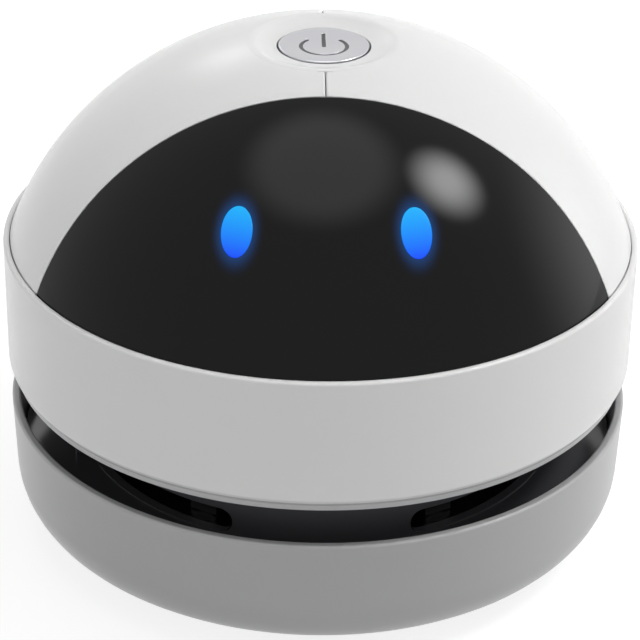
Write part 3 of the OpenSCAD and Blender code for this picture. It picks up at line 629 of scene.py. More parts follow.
@dataclass(frozen=True)
class Finish:
    """A real material: its colour, gloss and fine texture. A metal keeps the default IOR."""

    name: str
    colour: str
    roughness: float
    ior: float | None = None
    relief: Relief | None = None
    wear: float = 0.03
    patch_mm: float = 9.0
    patch_span: tuple[float, float] = (0.3, 0.7)
    strength: float = 0.6

    def build(self) -> bpy.types.Material:
        """Makes the material: its roughness goes up and down by the wear, in soft patches.

        Returns:
            The material, whose shader node is named "Principled BSDF".
        """
        material = bpy.data.materials.new(self.name)
        material.use_nodes = True
        tree = material.node_tree
        place = node(tree, "ShaderNodeTexCoord").outputs["Object"]
        spots = {"Vector": place, "Scale": 1 / (self.patch_mm * MM), "Detail": 4.0}
        patches = node(tree, "ShaderNodeTexNoise", spots)
        least, most = self.patch_span
        low, high = self.roughness - self.wear, self.roughness + self.wear
        spread = {"Value": patches, 1: least, 2: most, 3: low, 4: high}
        inputs = {
            "Base Color": linear(self.colour),
            "Metallic": 1.0 if self.ior is None else 0.0,
            "Roughness": node(tree, "ShaderNodeMapRange", spread),
        }
        if self.ior is not None:
            inputs["IOR"] = self.ior
        if self.relief is not None:
            inputs["Normal"] = self.bump(tree, place, self.relief)
        feed(tree.nodes["Principled BSDF"], inputs)
        return material

    def bump(self, tree: Tree, place: Socket, relief: Relief) -> Node:
        """The relief: rings round the axis, long fibres, or even specks.

        Args:
            tree: the material's tree.
            place: the object coordinates.
            relief: the texture.

        Returns:
            The bump node.
        """
        noise = {"Scale": 1 / (relief.width * MM), "Detail": relief.grain.value}
        if relief.grain is Grain.TURNED:
            level = node(tree, "ShaderNodeSeparateXYZ", {0: place}).outputs[2]
            rings = {0: axis_distance(tree, place), 1: level}
            noise["W"] = node(tree, "ShaderNodeMath", rings, operation="ADD")
            height = node(tree, "ShaderNodeTexNoise", noise, noise_dimensions="1D")
        else:
            if relief.grain is Grain.PAPER:
                fibres = {0: place, 1: (1, 0.25, 1)}
                place = node(tree, "ShaderNodeVectorMath", fibres, operation="MULTIPLY").outputs[0]
            height = node(tree, "ShaderNodeTexNoise", noise | {"Vector": place})
        depth = {"Height": height, "Strength": self.strength, "Distance": relief.depth * MM}
        return node(tree, "ShaderNodeBump", depth)


# Slot by slot, what each piece is really made of, and what that gives the eye. Reliefs that
# are too fine to show are drawn as coarse as they need to show.
FINISHES: dict[str, Finish] = {
    # Injection-moulded ABS, IOR 1.54: white with broad, clean highlights
    "shell_white": Finish("abs_white_gloss", "#E6E6E6", 0.24, 1.54, wear=0.012),
    # The cup's ABS has a softer, slightly darker face
    "cup_grey": Finish("abs_light_grey_satin", "#AFAFB0", 0.3, 1.54, wear=0.008),
    # Smoked gloss panel: its low IOR stands for the dark tint behind a thin hard coat
    "visor_black": Finish("smoked_gloss_panel", "#060607", 0.07, 1.26, wear=0.015),
    # Window of frosted acrylic, lit from behind, with little mirroring of its own
    "window_blue": Finish("acrylic_window_lit", "#0B2A66", 0.16, 1.3, wear=0.02),
    # Satin anodised aluminium: a metal whose fine turned rings draw the highlight out
    "button_silver": Finish(
        "anodised_aluminium_satin", "#C4C4C8", 0.21, None, Relief(Grain.TURNED, 0.12, 0.004)
    ),
    # Black PA/ABS from a spark-eroded mould: fine even specks, no clear mirror
    "dark_plastic": Finish(
        "black_textured_plastic", "#2A2A2C", 0.5, 1.5, Relief(Grain.MOULDED, 0.25, 0.02)
    ),
    # Gloss black ABS: small sharp highlights on the housing's ribs
    "housing_black": Finish("abs_black_gloss", "#5A5A5E", 0.14, 1.5),
    # Glass-filled nylon of the fan: pale, with a slightly rough skin
    "fan_grey": Finish(
        "nylon_fan_grey", "#A9ADB0", 0.42, 1.53, Relief(Grain.MOULDED, 0.2, 0.01)
    ),
    # Solder mask: a glossy green lacquer
    "board_green": Finish("solder_mask_green", "#14603A", 0.3, 1.5),
    # Epoxy lamp: smooth and nearly clear
    "lamp_clear": Finish("epoxy_lamp_clear", "#BFD9FF", 0.12, 1.53),
    # Shrunk PVC sleeve: tight and glossy
    "cell_wrap": Finish("pvc_sleeve_blue", "#2A4F9C", 0.22, 1.53),
    # Soft PVC wire sheath: a dull gloss
    "wire_red": Finish("pvc_sheath_red", "#A3241F", 0.4, 1.53),
    # Zinc-plated drawn steel: a cool metal with faint rings
    "motor_steel": Finish(
        "zinc_plated_steel", "#B9BBBC", 0.34, None, Relief(Grain.TURNED, 0.3, 0.004)
    ),
    # Nickel-plated steel screws: a warmer, brighter metal
    "screw_steel": Finish(
        "nickel_plated_steel", "#B4B2AC", 0.28, None, Relief(Grain.TURNED, 0.1, 0.004)
    ),
    # Moulded rubber: matte, without a highlight
    "rubber_black": Finish(
        "rubber_black_matte", "#1B1B1B", 0.75, 1.5, Relief(Grain.MOULDED, 0.15, 0.02)
    ),
    # Moulded polypropylene of the frame: waxy and half dull
    "filter_grey": Finish(
        "polypropylene_grey", "#46484B", 0.45, 1.49, Relief(Grain.MOULDED, 0.2, 0.015)
    ),
    # Filter fibre: matte ivory with fibres that run along the folds
    "filter_paper": Finish(
        "filter_fibre_ivory", "#E4E1D3", 0.85, 1.45, Relief(Grain.PAPER, 0.35, 0.08)
    ),
    # Drawn nylon strands: dark with a thin sheen
    "bristle_nylon": Finish("nylon_bristle_black", "#26262A", 0.38, 1.53),
}


@dataclass
class Finishes:
    """The built materials, one for each slot, with what single ones have besides."""

    sizes: Measures
    made: dict[str, bpy.types.Material] = field(default_factory=dict)
    window_colours: tuple[str, str] = ("#0838F4", "#0EB9F2")
    window_light: float = 0.95
    window_share: float = 0.4
    glow_colour: str = "#2F8CFF"
    glow_light: float = 0.14
    glow_reach: tuple[float, float] = (0.9, 2.1)
    glow_fall: float = 3.0
    # Painted shade in the button mark's groove: its colour, and how metallic it stays.
    mark_shade_colour: str = "#3E3E42"
    mark_metal: float = 0.2

    def build(self) -> None:
        """Builds every finish, and then adds what single ones need."""
        for slot, finish in FINISHES.items():
            self.made[slot] = finish.build()
        self.light_windows()
        self.visor_glow()
        self.button_mark_shade()
        # Painted shade: the band's foot is painted grey, and the housing's inner posts and floor
        # near black.
        self.paint_shade("shell_white", 2, 25.8, 25.9, "#B9B9BA")
        self.paint_shade("housing_black", None, 32.74, 32.78, "#161617")

    def shader(self, slot: str) -> Node:
        """The shader node of a slot's material."""
        return self.made[slot].node_tree.nodes["Principled BSDF"]

    def eye_distance(self, tree: Tree, side: int) -> Socket:
        """How far a point is from a window's middle, 1 at the window's edge.

        The offset from the middle is counted in half widths across and half heights up.

        Args:
            tree: the material's tree.
            side: -1 for the left window, 1 for the right.

        Returns:
            The output that holds the distance.
        """
        middle, across, up, _ = self.sizes.eye_frame(side)
        place = node(tree, "ShaderNodeTexCoord").outputs["Object"]
        ends = {0: place, 1: tuple(middle * MM)}
        offset = node(tree, "ShaderNodeVectorMath", ends, operation="SUBTRACT")
        parts = {}
        for k, way in enumerate((across / self.sizes.eye_w, up / self.sizes.eye_h)):
            pair = {0: offset, 1: tuple(way * 2 / MM)}
            reach = node(tree, "ShaderNodeVectorMath", pair, operation="DOT_PRODUCT")
            parts[k] = reach.outputs["Value"]
        whole = node(tree, "ShaderNodeCombineXYZ", parts)
        return node(tree, "ShaderNodeVectorMath", {0: whole}, operation="LENGTH").outputs["Value"]

    def light_windows(self) -> None:
        """Lights the windows from behind, paler at the top and deeper at the foot."""
        shader, m = self.shader("window_blue"), self.sizes
        tree = shader.id_data
        place = node(tree, "ShaderNodeTexCoord").outputs["Object"]
        level = node(tree, "ShaderNodeSeparateXYZ", {0: place}).outputs[2]
        low, high = ((m.eye_z + s * m.eye_h * self.window_share) * MM for s in (-1, 1))
        share = node(tree, "ShaderNodeMapRange", {"Value": level, 1: low, 2: high})
        ramp = node(tree, "ShaderNodeValToRGB", {0: share})
        for stop, colour in zip(ramp.color_ramp.elements, self.window_colours):
            stop.color = linear(colour)
        feed(shader, {"Emission Color": ramp, "Emission Strength": self.window_light})

    def visor_glow(self) -> None:
        """Adds the soft blue glow that the windows leave in the smoked panel."""
        shader = self.shader("visor_black")
        tree = shader.id_data
        pair = {k: self.eye_distance(tree, side) for k, side in enumerate((-1, 1))}
        nearest = node(tree, "ShaderNodeMath", pair, operation="MINIMUM")
        near, far = self.glow_reach
        span = {"Value": nearest, 1: near, 2: far, 3: 1.0, 4: 0.0}
        fade = node(tree, "ShaderNodeMapRange", span, interpolation_type="SMOOTHSTEP")
        fall = node(tree, "ShaderNodeMath", {0: fade, 1: self.glow_fall}, operation="POWER")
        glow = node(tree, "ShaderNodeMath", {0: fall, 1: self.glow_light}, operation="MULTIPLY")
        feed(shader, {"Emission Color": linear(self.glow_colour), "Emission Strength": glow})

    def button_mark_shade(self) -> None:
        """Paints shade into the button's engraved mark: a darker, duller grey in its groove."""
        shader = self.shader("button_silver")
        tree = shader.id_data
        mark = node(tree, "ShaderNodeAttribute", attribute_name="mark").outputs["Fac"]
        own, dark = linear(FINISHES["button_silver"].colour), linear(self.mark_shade_colour)
        colours = {"Factor": mark, 6: own, 7: dark}
        mix = node(tree, "ShaderNodeMix", colours, data_type="RGBA")
        metal = node(tree, "ShaderNodeMapRange", {"Value": mark, 3: 1.0, 4: self.mark_metal})
        feed(shader, {"Base Color": mix.outputs[2], "Metallic": metal})

    def paint_shade(self, slot: str, axis: int | None, low: float, high: float, colour: str) -> None:
        """Paints shade into a finish as a second colour: under the band's foot, inside the housing.

        Args:
            slot: the record's slot.
            axis: the coordinate that divides the colours, None for the distance from the axis.
            low: where the second colour ends, in mm.
            high: where the finish's own colour begins, in mm.
            colour: the painted shade's colour.
        """
        shader = self.shader(slot)
        tree = shader.id_data
        place = node(tree, "ShaderNodeTexCoord").outputs["Object"]
        if axis is None:
            reach = axis_distance(tree, place)
        else:
            reach = node(tree, "ShaderNodeSeparateXYZ", {0: place}).outputs[axis]
        share = node(tree, "ShaderNodeMapRange", {"Value": reach, 1: low * MM, 2: high * MM})
        colours = {"Factor": share, 6: linear(colour), 7: linear(FINISHES[slot].colour)}
        mix = node(tree, "ShaderNodeMix", colours, data_type="RGBA")
        feed(shader, {"Base Color": mix.outputs[2]})


# ---------------------------------------------------------------- sub-assemblies


@dataclass
class Builder:
    """What every sub-assembly needs to put its pieces into the scene."""

    sizes: Measures
    finishes: Finishes
    skirt_low: float = 1.75
    skirt_top: float = 0.04
    skirt_in: float = 0.02
    placed: list[str] = field(default_factory=list)

    def place(
        self, name: str, made: Surface | Mesh, body: str, slot: str, stands_for: str
    ) -> None:
        """Adds a finished piece.

        Args:
            name: the piece's name.
            made: its surface or mesh, in place.
            body: the body it rides on.
            slot: the record's slot of its finish.
            stands_for: the solid that it replaces.
        """
        mesh = made.mesh(name) if isinstance(made, Surface) else made
        piece = add_object(name, mesh)
        mesh.materials.clear()
        mesh.materials.append(self.finishes.made[slot])
        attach(piece, body)
        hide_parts(stands_for)
        self.placed.append(f"{name}: {len(mesh.polygons)} faces on {body}")

    def skirt(self, surface: Surface, wall: float, span: tuple[float, float], turns: int) -> None:
        """Adds the low wall of a dome piece, which sits inside the band's lip.

        Args:
            surface: where it goes.
            wall: how far it reaches in from the dome's edge.
            span: its first and last azimuth.
            turns: steps along it.
        """
        edge, level = self.sizes.edge_r, self.sizes.band_top
        low, top = level - self.skirt_low, level + self.skirt_top
        profile = bar(edge - wall, edge - self.skirt_in, low, top, 0.1, 0.2, 0, 0)
        revolve(surface, profile, turns, span)


@dataclass
class DomeShell:
    """The two white halves of the dome, split along the middle."""

    maker: Builder
    rows: int = 72
    rim_steps: int = 64
    cut_steps: int = 49
    skirt_steps: int = 80
    edge: float = 0.12
    back_edge: float = 0.42
    front_edge: float = 0.34
    crown_edge: float = 0.02
    skirt_t: float = 1.52
    front_room: float = 0.004
    back_room: float = 0.003
    back_start: float = math.radians(175)
    lead: float = math.radians(26)
    lead_fall: float = 2.4
    seam_reach: float = 3.0

    def half(self, side: int) -> Surface:
        """One half: meridians from the crown down to the rim or the visor's cut.

        The columns run from the back seam to the front seam, and lean back at the visor's
        corner so that they cross both borders there. Near the seams they are moved sideways
        by half the seam and put back on the ball.

        Args:
            side: -1 for the left, 1 for the right.

        Returns:
            The half's surface.
        """
        m = self.maker.sizes
        gap = -m.seam / 2
        corner = m.corner_azimuth(gap)
        back = np.append(math.pi, np.linspace(self.back_start, corner, self.rim_steps))
        cut = m.cut(np.linspace(m.corner_turn(gap), 0, self.cut_steps + 1)[1:], gap)
        cut_angle = np.arccos((cut[:, 2] - m.centre[2]) / m.dome_r)
        foot = np.append(np.full(len(back), m.rim_angle), cut_angle)[:, None]
        low = np.append(back, np.arctan2(cut[:, 0], -cut[:, 1]))[:, None]
        lead = self.lead * np.minimum(low / corner, (math.pi - low) / (math.pi - corner))
        share = np.linspace(0, 1, self.rows)[None, :]
        angle = m.crown_angle + (foot - m.crown_angle) * share
        grid = m.on_dome(low + lead * (1 - share**self.lead_fall), angle)
        away = np.abs(grid[..., 0])
        grid[..., 0] = away + m.seam / 2 * np.exp(-away / self.seam_reach)
        grid = m.onto_ball(grid)
        grid[..., 0] *= side
        edge = np.full(grid.shape[:2], self.edge)
        edge[:, 0] = self.crown_edge
        edge[-1, :] = self.front_edge
        edge[0, :] = self.back_edge
        surface = Surface()
        shell(surface, grid, m.centre, m.shell_t, edge)
        ends = sorted((side * (corner + self.front_room), side * (math.pi - self.back_room)))
        self.maker.skirt(surface, self.skirt_t, (ends[0], ends[1]), self.skirt_steps)
        return surface

    def build(self) -> None:
        """Puts both halves in."""
        for side, word in ((-1, "left"), (1, "right")):
            name = f"dome_shell_{word}"
            self.maker.place(name, self.half(side), "main", "shell_white", f"dome_{word}")


@dataclass
class Visor:
    """The smoked panel across the front, and its two light windows."""

    maker: Builder
    thickness: float = 1.7
    edge: float = 0.1
    reach: float = 0.994
    columns: int = 121
    rows: int = 60
    skirt_steps: int = 90
    oval_steps: int = 96
    hole_gap: float = 0.03
    hole_in: float = 4.0
    hole_long: float = 5.5
    window_t: float = 2.2
    window_edge: float = 0.12
    window_rings: int = 16

    def oval(self, across: Array, up: Array, grow: float) -> Array:
        """A window's outline, relative to its middle: an ellipse in its own plane.

        Args:
            across: unit vector across the window.
            up: unit vector up the window.
            grow: how much larger than the window it is all round.

        Returns:
            The points.
        """
        m, a = self.maker.sizes, circle(self.oval_steps)
        return across * (m.eye_w / 2 + grow) * np.cos(a) + up * (m.eye_h / 2 + grow) * np.sin(a)

    def panel(self) -> Mesh:
        """The panel: straight lines from the cut to the rim, put on the ball, with two holes.

        Returns:
            The panel's mesh.
        """
        m = self.maker.sizes
        gap = m.seam / 2
        corner = m.corner_azimuth(gap)
        along = np.linspace(-self.reach, self.reach, self.columns)
        high = m.cut(along * m.corner_turn(gap), gap)[:, None]
        low = m.on_dome(along * corner, np.full(self.columns, m.rim_angle))[:, None]
        grid = m.onto_ball(high + (low - high) * np.linspace(0, 1, self.rows)[None, :, None])
        surface = Surface()
        shell(surface, grid, m.centre, self.thickness, np.full(grid.shape[:2], self.edge))
        self.maker.skirt(surface, self.thickness, (-corner, corner), self.skirt_steps)
        cutters = []
        for side in (-1, 1):
            middle, across, up, out = m.eye_frame(side)
            loop = self.oval(across, up, self.hole_gap)
            cutters.append(extrusion(loop, middle - self.hole_in * out, self.hole_long * out))
        mesh = cut_with(surface.mesh("visor_panel"), cutters)
        settle_normals(mesh, m.centre, (1, 1, 1), m.dome_r)
        return mesh

    def window(self, side: int) -> Surface:
        """One window: a cap on the ball with a rounded edge, and a straight plug behind.

        Args:
            side: -1 for the left, 1 for the right.

        Returns:
            The window's surface.
        """
        m, edge = self.maker.sizes, self.window_edge
        middle, across, up, out = m.eye_frame(side)
        outline, inset = (self.oval(across, up, grow) for grow in (0.0, -edge))
        share = np.linspace(0, 1, self.window_rings)[None, :, None]
        cap = m.onto_ball(middle + inset[:, None, :] * share)
        surface = Surface()
        surface.add(cap, cap - m.centre, grid_faces(*cap.shape[:2], wrap=True))
        side_way = unit(outline - outline.mean(axis=0))
        rim = cap[:, -1]
        rings, facing = [rim], [unit(rim - m.centre)]
        for angle in np.radians([30, 60, 90]):
            c, s = math.cos(angle), math.sin(angle)
            rings.append(rim - out * edge * (1 - c) + (outline - inset) * s)
            facing.append(out * c + side_way * s)
        depth = middle - out * self.window_t
        foot, below = depth + outline, np.broadcast_to(-out, outline.shape)
        rings += [foot, foot, np.broadcast_to(depth, foot.shape)]
        facing += [side_way, below, below]
        faces = grid_faces(len(foot), len(rings), wrap=True)
        surface.add(np.stack(rings, axis=1), np.stack(facing, axis=1), faces)
        return surface

    def build(self) -> None:
        """Puts the panel and the windows in."""
        self.maker.place("visor_panel", self.panel(), "main", "visor_black", "visor")
        for side, word in ((-1, "left"), (1, "right")):
            name, solid = f"light_window_{word}", f"eye_window_{word}"
            self.maker.place(name, self.window(side), "main", "window_blue", solid)


@dataclass
class CrownAndButton:
    """The dished ring at the top and the round push button in it."""

    maker: Builder
    ridge: float = 2.2
    slope: float = math.radians(22)
    collar: tuple[tuple[float, float], ...] = ((0, -3.1), (2.3, -3.6), (2.3, -4.7), (-2, -4.7))
    tube_t: float = 0.9
    tube_z: float = 64.7
    hollow_steps: int = 12
    ridge_steps: int = 16
    crown_steps: int = 192
    button_edge: float = 0.2
    edge_steps: int = 7
    button_top: float = 70.94
    button_low: float = 63.35
    flange_r: float = 7.6
    flange_h: float = 1.1
    dish: float = 0.3
    button_steps: int = 360
    fine_r: float = 4.4
    fine_rings: int = 96
    outer_r: float = 4.5
    outer_rings: int = 10
    mark_r: float = 3.1
    mark_back: float = 0.25
    mark_open: float = math.radians(46)
    mark_bar: float = 3.9
    mark_w: float = 0.5
    mark_depth: float = 0.14
    wall_soft: float = 0.05
    mark_shade_soft: float = 0.04

    def crown(self) -> Surface:
        """A hollow curve that rises from the button's hole, over a soft ridge into the dome.

        Both curves are circles, which meet at the slope; the ridge touches the dome's ball.
        The collar's stops are counted from the ridge's foot.

        Returns:
            The crown's surface.
        """
        m = self.maker.sizes
        lean, arm = m.crown_angle, m.dome_r - self.ridge
        ridge = np.array([arm * math.sin(lean), m.centre[2] + arm * math.cos(lean)])
        curve = (ridge[0] - m.hole_r) / math.sin(self.slope) - self.ridge
        low = ridge[1] + (self.ridge + curve) * math.cos(self.slope)
        hollow, over = (
            np.stack([-np.sin(a), np.cos(a)], axis=-1)
            for a in (
                np.linspace(0, self.slope, self.hollow_steps),
                np.linspace(self.slope, -lean, self.ridge_steps)[1:],
            )
        )
        points = np.append([m.hole_r, low] - curve * hollow, ridge + self.ridge * over, axis=0)
        stops, inner = [points[-1] + stop for stop in self.collar], m.hole_r + self.tube_t
        stops += [(inner, stops[-1][1]), (inner, self.tube_z), (m.hole_r, self.tube_z), points[0]]
        surface = Surface()
        normals = np.append(hollow, over, axis=0)
        revolve(surface, run_on((points, normals), stops), self.crown_steps)
        return surface

    def mark_cover(self, x: Array, y: Array, soft: float) -> Array:
        """How much of the power mark is at a point: an open ring and a bar, with soft sides.

        The distance from the mark's middle line is the least of that from the ring's arc, or
        its two ends, and that from the bar.

        Args:
            x: the points' places to the right.
            y: the points' places to the back.
            soft: half the width of the soft side.

        Returns:
            1 on the mark, 0 off it.
        """
        away, opening = y + self.mark_back, self.mark_open
        end_x, end_y = self.mark_r * math.sin(opening), self.mark_r * math.cos(opening)
        ends = np.hypot(np.abs(x) - end_x, away - end_y)
        on_arc = np.abs(np.hypot(x, away) - self.mark_r)
        arc = np.where(np.abs(np.arctan2(x, away)) > opening, on_arc, ends)
        bar_line = np.hypot(x, y - np.clip(y, 0, self.mark_bar))
        return smooth_step((self.mark_w / 2 + soft - np.minimum(arc, bar_line)) / (2 * soft))

    def face_height(self, x: Array, y: Array) -> Array:
        """The button's face: a shallow dish with the mark pressed into it.

        Args:
            x: the points' places to the right.
            y: the points' places to the back.

        Returns:
            The face's height at each point.
        """
        reach = self.maker.sizes.button_r - self.button_edge
        hollow = self.dish * (1 - np.clip((x * x + y * y) / reach**2, 0, 1)) ** 2
        return self.button_top - hollow - self.mark_depth * self.mark_cover(x, y, self.wall_soft)

    def button(self) -> Surface:
        """The button's cap, with a rounded edge, a straight skirt and a flange below.

        The face's normals come from its slope, taken over a step to either side.

        Returns:
            The button's surface.
        """
        m, edge, low = self.maker.sizes, self.button_edge, self.button_low
        reach = m.button_r - edge
        a = circle(self.button_steps)
        rings = (np.linspace(0, self.fine_r, self.fine_rings),
                 np.linspace(self.outer_r, reach, self.outer_rings))
        r = np.concatenate(rings)[None, :]
        x, y = r * np.sin(a), -r * np.cos(a)
        rise_x, rise_y = (
            (self.face_height(x + u, y + v) - self.face_height(x - u, y - v)) / (2 * SLOPE_STEP)
            for u, v in ((SLOPE_STEP, 0), (0, SLOPE_STEP))
        )
        surface = Surface()
        # The face, with the mark's painted shade as a value at each point for the material.
        surface.add(
            np.stack([x, y, self.face_height(x, y)], axis=-1),
            np.stack([-rise_x, -rise_y, np.ones_like(rise_x)], axis=-1),
            grid_faces(*x.shape, wrap=True),
            self.mark_cover(x, y, self.mark_shade_soft),
        )
        t = np.linspace(0, math.pi / 2, self.edge_steps)
        arc = np.stack([np.sin(t), np.cos(t)], axis=-1)
        shoulder, flange = low + self.flange_h, self.flange_r
        stops = [(m.button_r, shoulder), (flange, shoulder), (flange, low), (0.0, low)]
        profile = run_on(([reach, self.button_top - edge] + edge * arc, arc), stops)
        revolve(surface, profile, self.button_steps)
        return surface

    def build(self) -> None:
        """Puts the crown and the button in."""
        self.maker.place("crown_dish", self.crown(), "main", "shell_white", "crown")
        self.maker.place("push_button", self.button(), "button", "button_silver", "power_button")


@dataclass
class BandAndCup:
    """The upright band round the motor, and the dust cup under the exhaust gap."""

    maker: Builder
    steps: int = 240
    wall: float = 1.6
    chamfer_in: float = 0.72
    chamfer_h: float = 1.8
    foot: float = 0.7
    rim_gap: float = 0.09
    port_z: float = 33.5
    port_w: float = 9.04
    port_t: float = 3.26
    port_in: float = 40.5
    port_long: float = 5.0
    port_steps: int = 64
    cup_z: float = 1.2
    rim_z: float = 19.4
    cup_r: float = 43.8
    draft: float = 0.35
    fillet: float = 8.3
    cup_wall: float = 1.2
    floor_z: float = 3.6
    recess_z: float = 2.6
    recess_r: float = 28.1
    floor_hole_r: float = 26.0
    bosses: int = 3
    boss_r: float = 2.1
    boss_at: float = 25.5
    boss_low: float = 2.66
    boss_top: float = 6.4
    boss_bore: float = 1.05
    boss_steps: int = 40
    tab_in: float = 40.5
    tab_z: float = 9.7
    tab_t: float = 1.4
    tab_sunk: float = 0.1
    tab_span: float = math.radians(24)
    tab_at: float = math.radians(58)
    tab_steps: int = 24
    ribs: int = 6
    rib_at: float = 31.3
    rib_long: float = 7.8
    rib_t: float = 1.2
    rib_top: float = 9.0
    rib_sunk: float = 0.1

    def band(self) -> Mesh:
        """The band: bevelled foot, upright wall, rounded lip and the charge port's hole.

        Returns:
            The band's mesh.
        """
        m = self.maker.sizes
        inside, lip = m.body_r - self.wall, m.edge_r + self.rim_gap
        surface = Surface()
        outline = rounded_profile([
            (inside, m.band_z, 0.15),
            (m.body_r - self.chamfer_in, m.band_z, 0.12),
            (m.body_r - self.chamfer_in, m.band_z + self.foot, 0),
            (m.body_r, m.band_z + self.chamfer_h, 0.5),
            (m.body_r, m.band_top, 0.42),
            (lip, m.band_top, 0.22),
            (lip, m.ledge_z, 0),
            (inside, m.ledge_z, 0.15),
        ])
        revolve(surface, outline, self.steps)
        straight, a = (self.port_w - self.port_t) / 2, circle(self.port_steps)[:, 0]
        x = self.port_t / 2 * np.cos(a) + straight * np.sign(np.cos(a))
        loop = np.stack([x, 0 * a, self.port_t / 2 * np.sin(a)], axis=-1)
        start, travel = np.array([0, self.port_in, self.port_z]), np.array([0, self.port_long, 0])
        mesh = cut_with(surface.mesh("band_ring"), [extrusion(loop, start, travel)])
        settle_normals(mesh, np.zeros(3), (1, 1, 0), m.body_r, climb=0.05)
        return mesh

    def cup(self) -> Surface:
        """The cup: drafted wall, large round foot, soft rim, floor ribs, bosses and tabs.

        Returns:
            The cup's surface.
        """
        height, inner = self.rim_z - self.cup_z, self.cup_r - self.cup_wall
        low = self.cup_r - self.draft * height / (height - self.fillet)
        surface = Surface()
        outline = rounded_profile([
            (self.floor_hole_r, self.recess_z, 0),
            (self.recess_r, self.recess_z, 0),
            (self.recess_r, self.cup_z, 0.25),
            (low, self.cup_z, self.fillet),
            (self.cup_r, self.rim_z, 0.4),
            (inner, self.rim_z, 0.35),
            (low - self.cup_wall, self.floor_z, self.fillet - 2 * self.cup_wall),
            (self.floor_hole_r, self.floor_z, 0.2),
        ])
        revolve(surface, outline, self.steps)
        tab = bar(self.tab_in, inner + self.tab_sunk, self.tab_z, self.tab_z + self.tab_t,
                  0.2, 0, 0, 0.2)
        boss = bar(self.boss_bore, self.boss_r, self.boss_low, self.boss_top, 0, 0.1, 0.25, 0.15)
        for k in range(self.bosses):
            a = 2 * math.pi * k / self.bosses
            tab_a, half = self.tab_at + a, self.tab_span / 2
            revolve(surface, tab, self.tab_steps, (tab_a - half, tab_a + half))
            place = (self.boss_at * math.sin(a), -self.boss_at * math.cos(a))
            revolve(surface, boss, self.boss_steps, middle=place)
        middle = np.array([self.rib_at, 0, (self.floor_z + self.rib_top - self.rib_sunk) / 2])
        size = np.array([self.rib_long, self.rib_t, self.rib_top - self.floor_z + self.rib_sunk])
        for k in range(self.ribs):
            block(surface, middle, size, (2 * k + 1) * math.pi / self.ribs)
        return surface

    def build(self) -> None:
        """Puts the band and the cup in."""
        self.maker.place("band_ring", self.band(), "main", "shell_white", "band")
        self.maker.place("cup_bowl", self.cup(), "cup", "cup_grey", "dust_cup")


